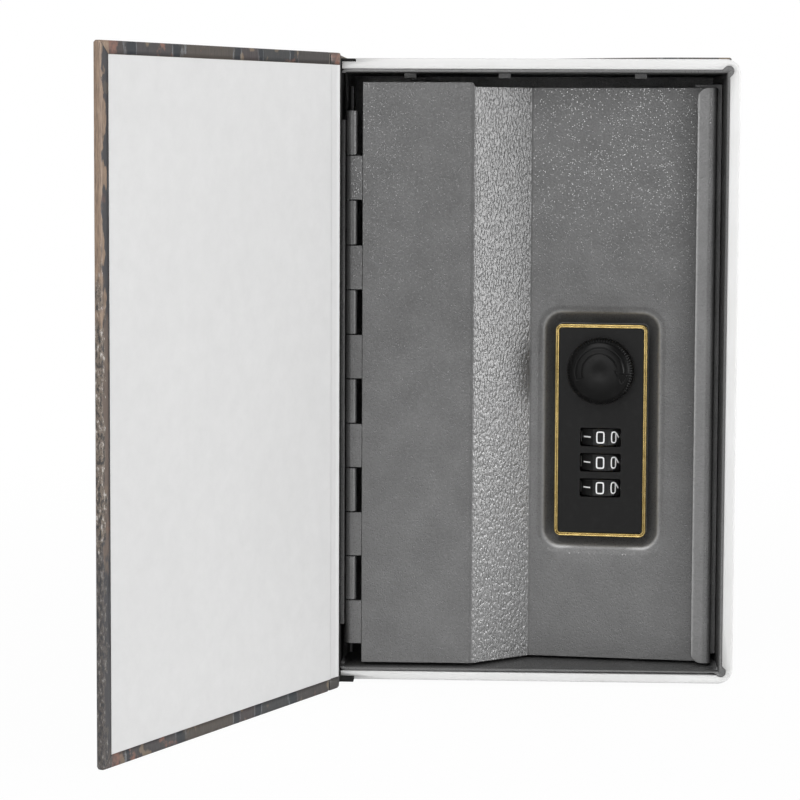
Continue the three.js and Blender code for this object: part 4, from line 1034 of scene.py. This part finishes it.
def case_paper():
    """The sheet as points (reach, depth, z): reach along the outer line from the front fore
    edge, depth in from it, and z. The folds are rounded by pulling each point onto a ball of
    radius FOLD about its nearest point of the case shrunk by FOLD, after the board's square
    corners are drawn in to CORNER_ROUND. Then reach and depth become a place in plan,
    line(reach) + inward way * depth. One grid holds the outside with its head and tail
    turn-ins, and one at each end holds the fore edge and its turn-in. Last, the back cover's
    head rises by HEAD_LIFT towards its fore edge. With the points and faces goes each point's
    place on the flat sheet, times FLAT_SCALE."""
    outer = rounded_path(
        [on_cover(COVER_REACH, COVER_OUTER), on_cover(8.1, COVER_OUTER), on_cover(6.9, 1.05),
         on_cover(3.0, 0.95), (-1.15, -3.05), (-2.3, -1.8), (-2.55, -0.9), (-2.55, BACK_OUTER),
         (-0.7, BACK_OUTER), (0.4, 50.75), (6.3, 50.75), (7.4, BACK_OUTER), (BACK_FORE, BACK_OUTER)],
        [0.6, 0.5, 0.7, 0.5, 0.4, 0.4, 0.7, 0.6, 0.5, 0.5, 0.6], 5)
    _, _, length = along(outer)
    _, _, joint = along(outer[:1 + 6 * 7])
    near_back = joint + 48
    edge = np.concatenate([NEAR_EDGE, [1, 2.1, TURN_IN]])
    reach = np.unique(np.round(np.concatenate([
        edge, length - edge, np.linspace(TURN_IN, 104, 14), np.linspace(104, joint + 3, 60),
        np.linspace(joint + 3, near_back, 8), np.linspace(near_back, near_back + 16, 60),
        np.linspace(near_back + 16, length - TURN_IN, 14)]), 4))
    thickness = [(0, CASE_THICK), (105.4, CASE_THICK), (106.4, 0.9), (joint - 3.6, 0.9),
                 (joint - 0.6, 1.85), (joint + 53.2, 1.85), (joint + 54.2, 0.85),
                 (joint + 60.2, 0.85), (joint + 61.6, CASE_THICK)]

    def folded(at, depth, z):
        """The points' real places, after the corners' and the folds' rounding."""
        at, depth, z = np.broadcast_arrays(at, depth, z)
        case = np.interp(at, *zip(*thickness))
        radius = np.minimum(FOLD, case * 0.49)
        from_fore = np.minimum(at, length - at)
        near = np.maximum(CORNER_ROUND - from_fore, 0)
        far = np.maximum(CORNER_ROUND - np.minimum(z, HEIGHT - z), 0)
        inner = np.maximum(near, far) / np.maximum(np.hypot(near, far), 1e-9)
        from_fore = np.where(near > 0, CORNER_ROUND - near * inner, from_fore)
        from_end = CORNER_ROUND - far * inner
        z = np.where(far > 0, np.where(z > HEIGHT / 2, HEIGHT - from_end, from_end), z)
        core = [np.maximum(from_fore, radius), np.clip(depth, radius, case - radius),
                np.clip(z, radius, HEIGHT - radius)]
        away = [from_fore - core[0], depth - core[1], z - core[2]]
        size = np.maximum(np.sqrt(sum(a * a for a in away)), 1e-9)
        fore, depth, z = (c + a * radius / size for c, a in zip(core, away))
        middle, way, _ = along(outer, np.where(at < length / 2, fore, length - fore).ravel())
        plan = middle + right_of(way) * depth.reshape(-1, 1)
        return upright(plan.reshape(*at.shape, 2), z)

    share = np.array([0, 0.04, 0.12, 0.25, 0.5, 0.75, 0.88, 0.96, 1])
    tall = [*NEAR_EDGE, *(HEIGHT - NEAR_EDGE), *np.linspace(TURN_IN, HEIGHT - TURN_IN, 19)]
    tall = np.unique(tall)[::-1]
    turned_in = np.minimum(TURN_IN, np.minimum(reach, length - reach))[:, None]
    inside = turned_in * [1, 0.63, 0.32, 0.103, 0.064, 0.039, 0.018]
    case = np.interp(reach, *zip(*thickness))[:, None]
    at = reach[:, None]
    z, depth, unfolded = np.moveaxis(np.concatenate([
        together(HEIGHT - inside, case, HEIGHT + case + inside),
        together(HEIGHT, case * share[::-1], HEIGHT + case * share[::-1]),
        together(tall, 0 * case, tall),
        together(0, case * share, -case * share),
        together(inside[:, ::-1], case, -case - inside[:, ::-1])], axis=1), -1, 0)
    parts = [(folded(at, depth, z), grid_faces(*z.shape))]
    flat = [together(at, unfolded)]
    off = np.concatenate([0 * share, edge[1:]])[:, None]
    depth = CASE_THICK * np.pad(share, (0, len(edge) - 1), "edge")[:, None]
    z = off + (HEIGHT - 2 * off) * (tall / HEIGHT)
    for fore, way in ((0, 1), (length, -1)):
        parts.append((folded(fore + way * off, depth, z), grid_faces(*z.shape)))
        flat.append(together(fore - way * (depth + off), z))
    points, faces = joined(*parts)
    lifted = eased((points[:, 0] - 40) / 60) * eased((points[:, 2] - 168) / 8)
    points[:, 2] += HEAD_LIFT * lifted * (points[:, 1] > 45)
    return points, faces, np.concatenate([f.reshape(-1, 2) for f in flat]) * FLAT_SCALE


def cover_print():
    """A generic print of weathered upright boards: each board's grey from its own cell, dark gaps
    with a pale wavering line each side, streaks, knots and blotches. Along the front fore edge
    it is rubbed: smooth tan towards the head, tan and cream flakes in the middle and slate
    towards the tail. The turn-in there is slate too, with tan at its middle. X and Y here are
    the reach and the height on the flat sheet, in tenths of a metre."""
    finish = Finish("cover_print", "UV")
    reach, upward, _ = finish.split(finish.place)
    sway = finish.noise(1, stretch=(0.012, 0.004, 1), detail=2)
    waver = finish.noise(16, detail=3)
    boards = {"W": reach * 5.2 + sway * 0.5 + waver * 0.05, "Scale": 1}
    tint = finish.chance(finish.cells(boards, "Color", voronoi_dimensions="1D"))
    gap = finish.cells(boards, voronoi_dimensions="1D", feature="DISTANCE_TO_EDGE")
    fibre = finish.noise(30, detail=6, rough=0.72, stretch=(7, 0.6, 1))
    streak = finish.noise(8, detail=4, rough=0.6, stretch=(3.5, 0.25, 1))
    blotch = finish.noise(90, detail=5, rough=0.65)
    knot = finish.noise(75, detail=3, rough=0.5, stretch=(1.3, 1, 1))
    frayed = gap + (finish.noise(4, detail=3, rough=0.7) - 0.5) * 0.05
    pale = finish.between(frayed, 0.074, 0.088, 0.1, 0.112) * finish.levels(fibre, 0.4, 0.62)
    from_middle = abs(upward - 0.9)
    ends = finish.levels(from_middle, 0.855, 0.89) * (
        finish.levels(reach, 0.12, 0.05) + finish.between(reach, 1.0, 1.05, 1.4, 1.5))
    flake = finish.noise(11, detail=5, rough=0.72, stretch=(1.2, 0.55, 1))
    patch = finish.noise(60, detail=3, rough=0.6, stretch=(1.6, 0.5, 1)) - 0.5
    rubbed = finish.coated(
        finish.ramp(flake, (0.41, tone(32, 34, 38)), (0.46, tone(74, 68, 65)),
                    (0.5, tone(114, 102, 92)), (0.53, tone(134, 121, 106)), (0.56, tone(88, 79, 77)),
                    (0.59, tone(170, 162, 154)), (0.64, tone(208, 204, 200))),
        (0.1, tone(122, 115, 103)),
        (finish.levels(upward + patch * 0.7, 1.13, 1.24) * 0.92,
         finish.ramp(fibre, (0.3, tone(98, 84, 74)), (0.5, tone(146, 124, 106)),
                     (0.7, tone(172, 148, 126)))),
        (finish.levels(upward + patch * 0.6, 0.62, 0.52) * 0.6, tone(56, 58, 63)))
    turned = finish.levels(abs(upward - 0.85) + patch * 0.7, 0.34, 0.22)
    turned = turned * finish.levels(reach, -0.054, -0.046)
    inner = finish.mix(turned, tone(62, 63, 67), tone(116, 100, 89))
    border = reach + 0.034 + patch * 0.08 + (flake - 0.5) * 0.015
    at_fore = finish.levels(reach, 0.038, 0.034) * finish.levels(border, -0.003, 0.001)
    from_end = 0.9 - from_middle
    mitre = finish.levels(abs(reach + 0.0225 + from_end), 0.004, 0.0015)
    mitre = mitre * finish.levels(from_end, -0.001, 0)
    wear_and_highlight = finish.between(upward, 1.796, 1.803, 1.822, 1.83) * finish.levels(flake, 0.54, 0.66)
    colour = finish.coated(
        finish.ramp(tint, (0, tone(58, 60, 61)), (0.3, tone(74, 66, 68)), (0.5, tone(62, 61, 58)),
                    (0.7, tone(80, 68, 71)), (0.85, tone(66, 62, 60)), (0.97, tone(104, 92, 78))),
        (finish.levels(fibre, 0.35, 0.75) * 0.3, tone(104, 101, 99)),
        (finish.levels(streak, 0.5, 0.7) * 0.55, tone(38, 38, 41)),
        (finish.levels(knot, 0.61, 0.66) * 0.6, tone(146, 128, 106)),
        (finish.levels(gap, 0.085, 0.06) * 0.85, tone(40, 46, 52)),
        (pale * 0.75, tone(132, 138, 143)),
        (finish.levels(blotch + ends * 0.12, 0.6, 0.7) * 0.75,
         finish.ramp(blotch, (0.42, tone(104, 90, 88)), (0.62, tone(150, 108, 92)))),
        (finish.between(reach, -0.06, -0.05, -0.001, 0.003) * 0.7, inner),
        (at_fore * 0.95, rubbed),
        (mitre * 0.8, tone(26)),
        (wear_and_highlight * 0.5, tone(150, 142, 134)))
    return finish.done(colour, 0.42 + blotch * 0.16, [(fibre, 0.02)], coat_weight=0.15)


*case_shape, flat_places = case_paper()
paper = made("printed_cover", *case_shape, cover_print(), sharp=50, uv=flat_places)
thickness = paper.modifiers.new("paper", "SOLIDIFY")
thickness.thickness, thickness.offset = PAPER_THICK * MM, -1
worked_in(paper)
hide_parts("front_wrap", "spine_wrap", "back_wrap", "back_joint_strip")
tuple(placed([*on_cover(7, 0), HEIGHT / 2]))
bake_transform(paper)

# Case boards and endpapers
# Grey board under the print, and a plain white endpaper pasted over each board's inside. The
# front one dips into the groove beside the spine and is a little wavy, as pasted paper is.


def grey_board():
    finish = Finish("grey_board")
    fibre = finish.noise(0.8, detail=5, rough=0.7)
    colour = finish.mix(fibre, tone(140, 132, 120), tone(168, 160, 148))
    return finish.done(colour, 0.9, [(fibre, 0.05)])


def endpaper():
    finish = Finish("endpaper")
    fibre = finish.noise(0.5, detail=4, rough=0.7)
    mottle = finish.noise(5, detail=5, rough=0.65)
    cloudy = finish.noise(45, detail=2)
    colour = finish.ramp(mottle, (0.3, tone(218)), (0.7, tone(223)))
    colour = finish.mix(finish.levels(cloudy, 0.4, 0.65) * 0.15, colour, tone(214))
    return finish.done(colour, 0.75, [(fibre, 0.03), (mottle, 0.025)])


BOARD_GREY, ENDPAPER = grey_board(), endpaper()
for node in ("front_board", "back_board", "spine_board"):
    body = "front_cover" if node == "front_board" else "safe"
    dressed(node, f"{node}_core", BOARD_GREY, 0.1, body, "grey_board")

LEAF_EDGE, LEAF_THICK, BACK_INNER = 3.4, 0.2, 49.65


def leaf_sheet(to_plan, start, end, sink, ripple):
    """A pasted leaf, as to_plan(reach, height) places it. Its face is ripple * sin * sin high,
    less a groove sink * eased bump, and its under side lies LEAF_THICK below."""
    reach = stations(start, end, 6, [(start, start + 6)], 0.25)[:, None]
    up = np.linspace(LEAF_EDGE, HEIGHT - LEAF_EDGE, 33)
    groove = sink * (1 - eased((reach - 6.9) / 0.9)) * eased((reach - start) / 1.5)
    face = ripple * np.sin(reach / 17) * np.sin(up / 23 + 0.8) - groove
    return shell(*(upright(to_plan(reach, level), up) for level in (face, face - LEAF_THICK)))


front_shape = leaf_sheet(lambda r, h: on_cover(r, COVER_INNER - 0.04 + h), 3.2, 110.6, 0.28, 0.03)
fixed(made("front_pastedown", *front_shape, ENDPAPER), "front_cover", "white_paper", "front_endpaper")
back_shape = leaf_sheet(lambda r, h: together(r, BACK_INNER - h), 0.25, 110.1, 0, 0)
fixed(made("back_pastedown", *back_shape, ENDPAPER), "safe", "white_paper", "back_endpaper")

# Joint cloth
# The black cloth strip that hangs the front cover on the spine. One edge is pasted under the
# endpaper and the other inside the spine, and it bends along the hinge line.

CLOTH_THICK, CLOTH_EDGE = 0.5, 0.6


def joint_cloth():
    """The strip's outline in plan, an eased bent line with thickness, carried up Z."""
    line = rounded_path([on_cover(7.9, 1.4), on_cover(3.2, 1.5), HINGE_LINE, (-0.62, -1.6),
                         (-0.47, -0.42)], [0.8, 0.9, 0.5], 6)
    place, way, _ = along(line, np.linspace(0, along(line)[2], 48))
    side = right_of(way) * CLOTH_THICK / 2
    up = np.linspace(CLOTH_EDGE, HEIGHT - CLOTH_EDGE, 25)
    return shell(*(upright((place + sign * side)[:, None], up) for sign in (1, -1)))


cloth = made("joint_cloth", *joint_cloth(), BLACK_CLOTH)
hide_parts("front_joint_strip")
tuple(placed([*on_cover(3.2, 0), HEIGHT / 2]))
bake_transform(cloth)

# Floor and light
# A plain white floor that keeps the book's shadow, and a pale studio all round. A soft
# light on the right catches the door's slanted band, two large ones stand above and in front,
# and a small lamp on the left puts the glints on the paint.


def floor_white():
    """Near the book the floor takes light and shadow; further off it is the white backdrop."""
    finish = Finish("floor_white")
    rays = finish.node("ShaderNodeLightPath", {}, {}, "Is Camera Ray")
    distance = finish.node("ShaderNodeVectorMath", {"operation": "LENGTH"}, {0: finish.place}, "Value")
    lit = {"Base Color": (*tone(240), 1), "Roughness": 0.9}
    glow = {"Color": (1, 1, 1, 1), "Strength": 1}
    both = {0: rays * (0.97 + 0.03 * finish.levels(distance, 0.15, 0.6)),
            1: finish.node("ShaderNodeBsdfPrincipled", {}, lit),
            2: finish.node("ShaderNodeEmission", {}, glow)}
    both = finish.node("ShaderNodeMixShader", {}, both)
    finish.node("ShaderNodeOutputMaterial", {}, {"Surface": both})
    return finish.block


def studio_light():
    """What lies all round: white as the camera sees it, and otherwise a pale room that darkens
    towards its front, where the Y of the way there is under -0.6."""
    finish = Finish("studio", "Generated", bpy.data.worlds.new("studio"))
    _, forward, _ = finish.split(finish.place)
    spread = {"Value": forward, "From Min": -1, "From Max": -0.6, "To Min": 0.13, "To Max": 0.44}
    white = {"Color": (1, 1, 1, 1)}
    around = {**white, "Strength": finish.node("ShaderNodeMapRange", {}, spread)}
    both = finish.node("ShaderNodeMixShader", {}, {
        0: finish.node("ShaderNodeLightPath", {}, {}, "Is Camera Ray"),
        1: finish.node("ShaderNodeBackground", {}, around),
        2: finish.node("ShaderNodeBackground", {}, white)})
    finish.node("ShaderNodeOutputWorld", {}, {"Surface": both})
    return finish.block


FLOOR_HALF, FLOOR_TOP, FLOOR_UNDER = 3000, -0.01, -20
floor_shape = slab(-FLOOR_HALF, FLOOR_HALF, -FLOOR_HALF, FLOOR_HALF, FLOOR_UNDER, FLOOR_TOP)
made("floor", *floor_shape, floor_white())
bpy.context.scene.world = studio_light()


def soft_light(name, place, size, power):
    """A square lamp at a place, turned to face LOOK_AT."""
    lamp = bpy.data.objects.new(name, bpy.data.lights.new(name, "AREA"))
    lamp.data.shape, lamp.data.size, lamp.data.energy = "SQUARE", size, power
    turn = (Vector(LOOK_AT) - Vector(place)).to_track_quat("-Z", "Y").to_matrix().to_4x4()
    lamp.matrix_world = Matrix.Translation(place) @ turn
    bpy.context.scene.collection.objects.link(lamp)


LOOK_AT = (0, 0, 0.09)
soft_light("right_softbox", (1.0, -0.28, 0.12), 0.5, 6.2)
soft_light("upper_softbox", (-0.2, -0.8, 1.0), 0.8, 6)
soft_light("front_softbox", (-0.4, -1.6, 0.3), 1.2, 6)
soft_light("left_lamp", (-0.2, -1.3, 0.18), 0.2, 0.95)

bpy.context.scene.view_settings.view_transform = "Standard"
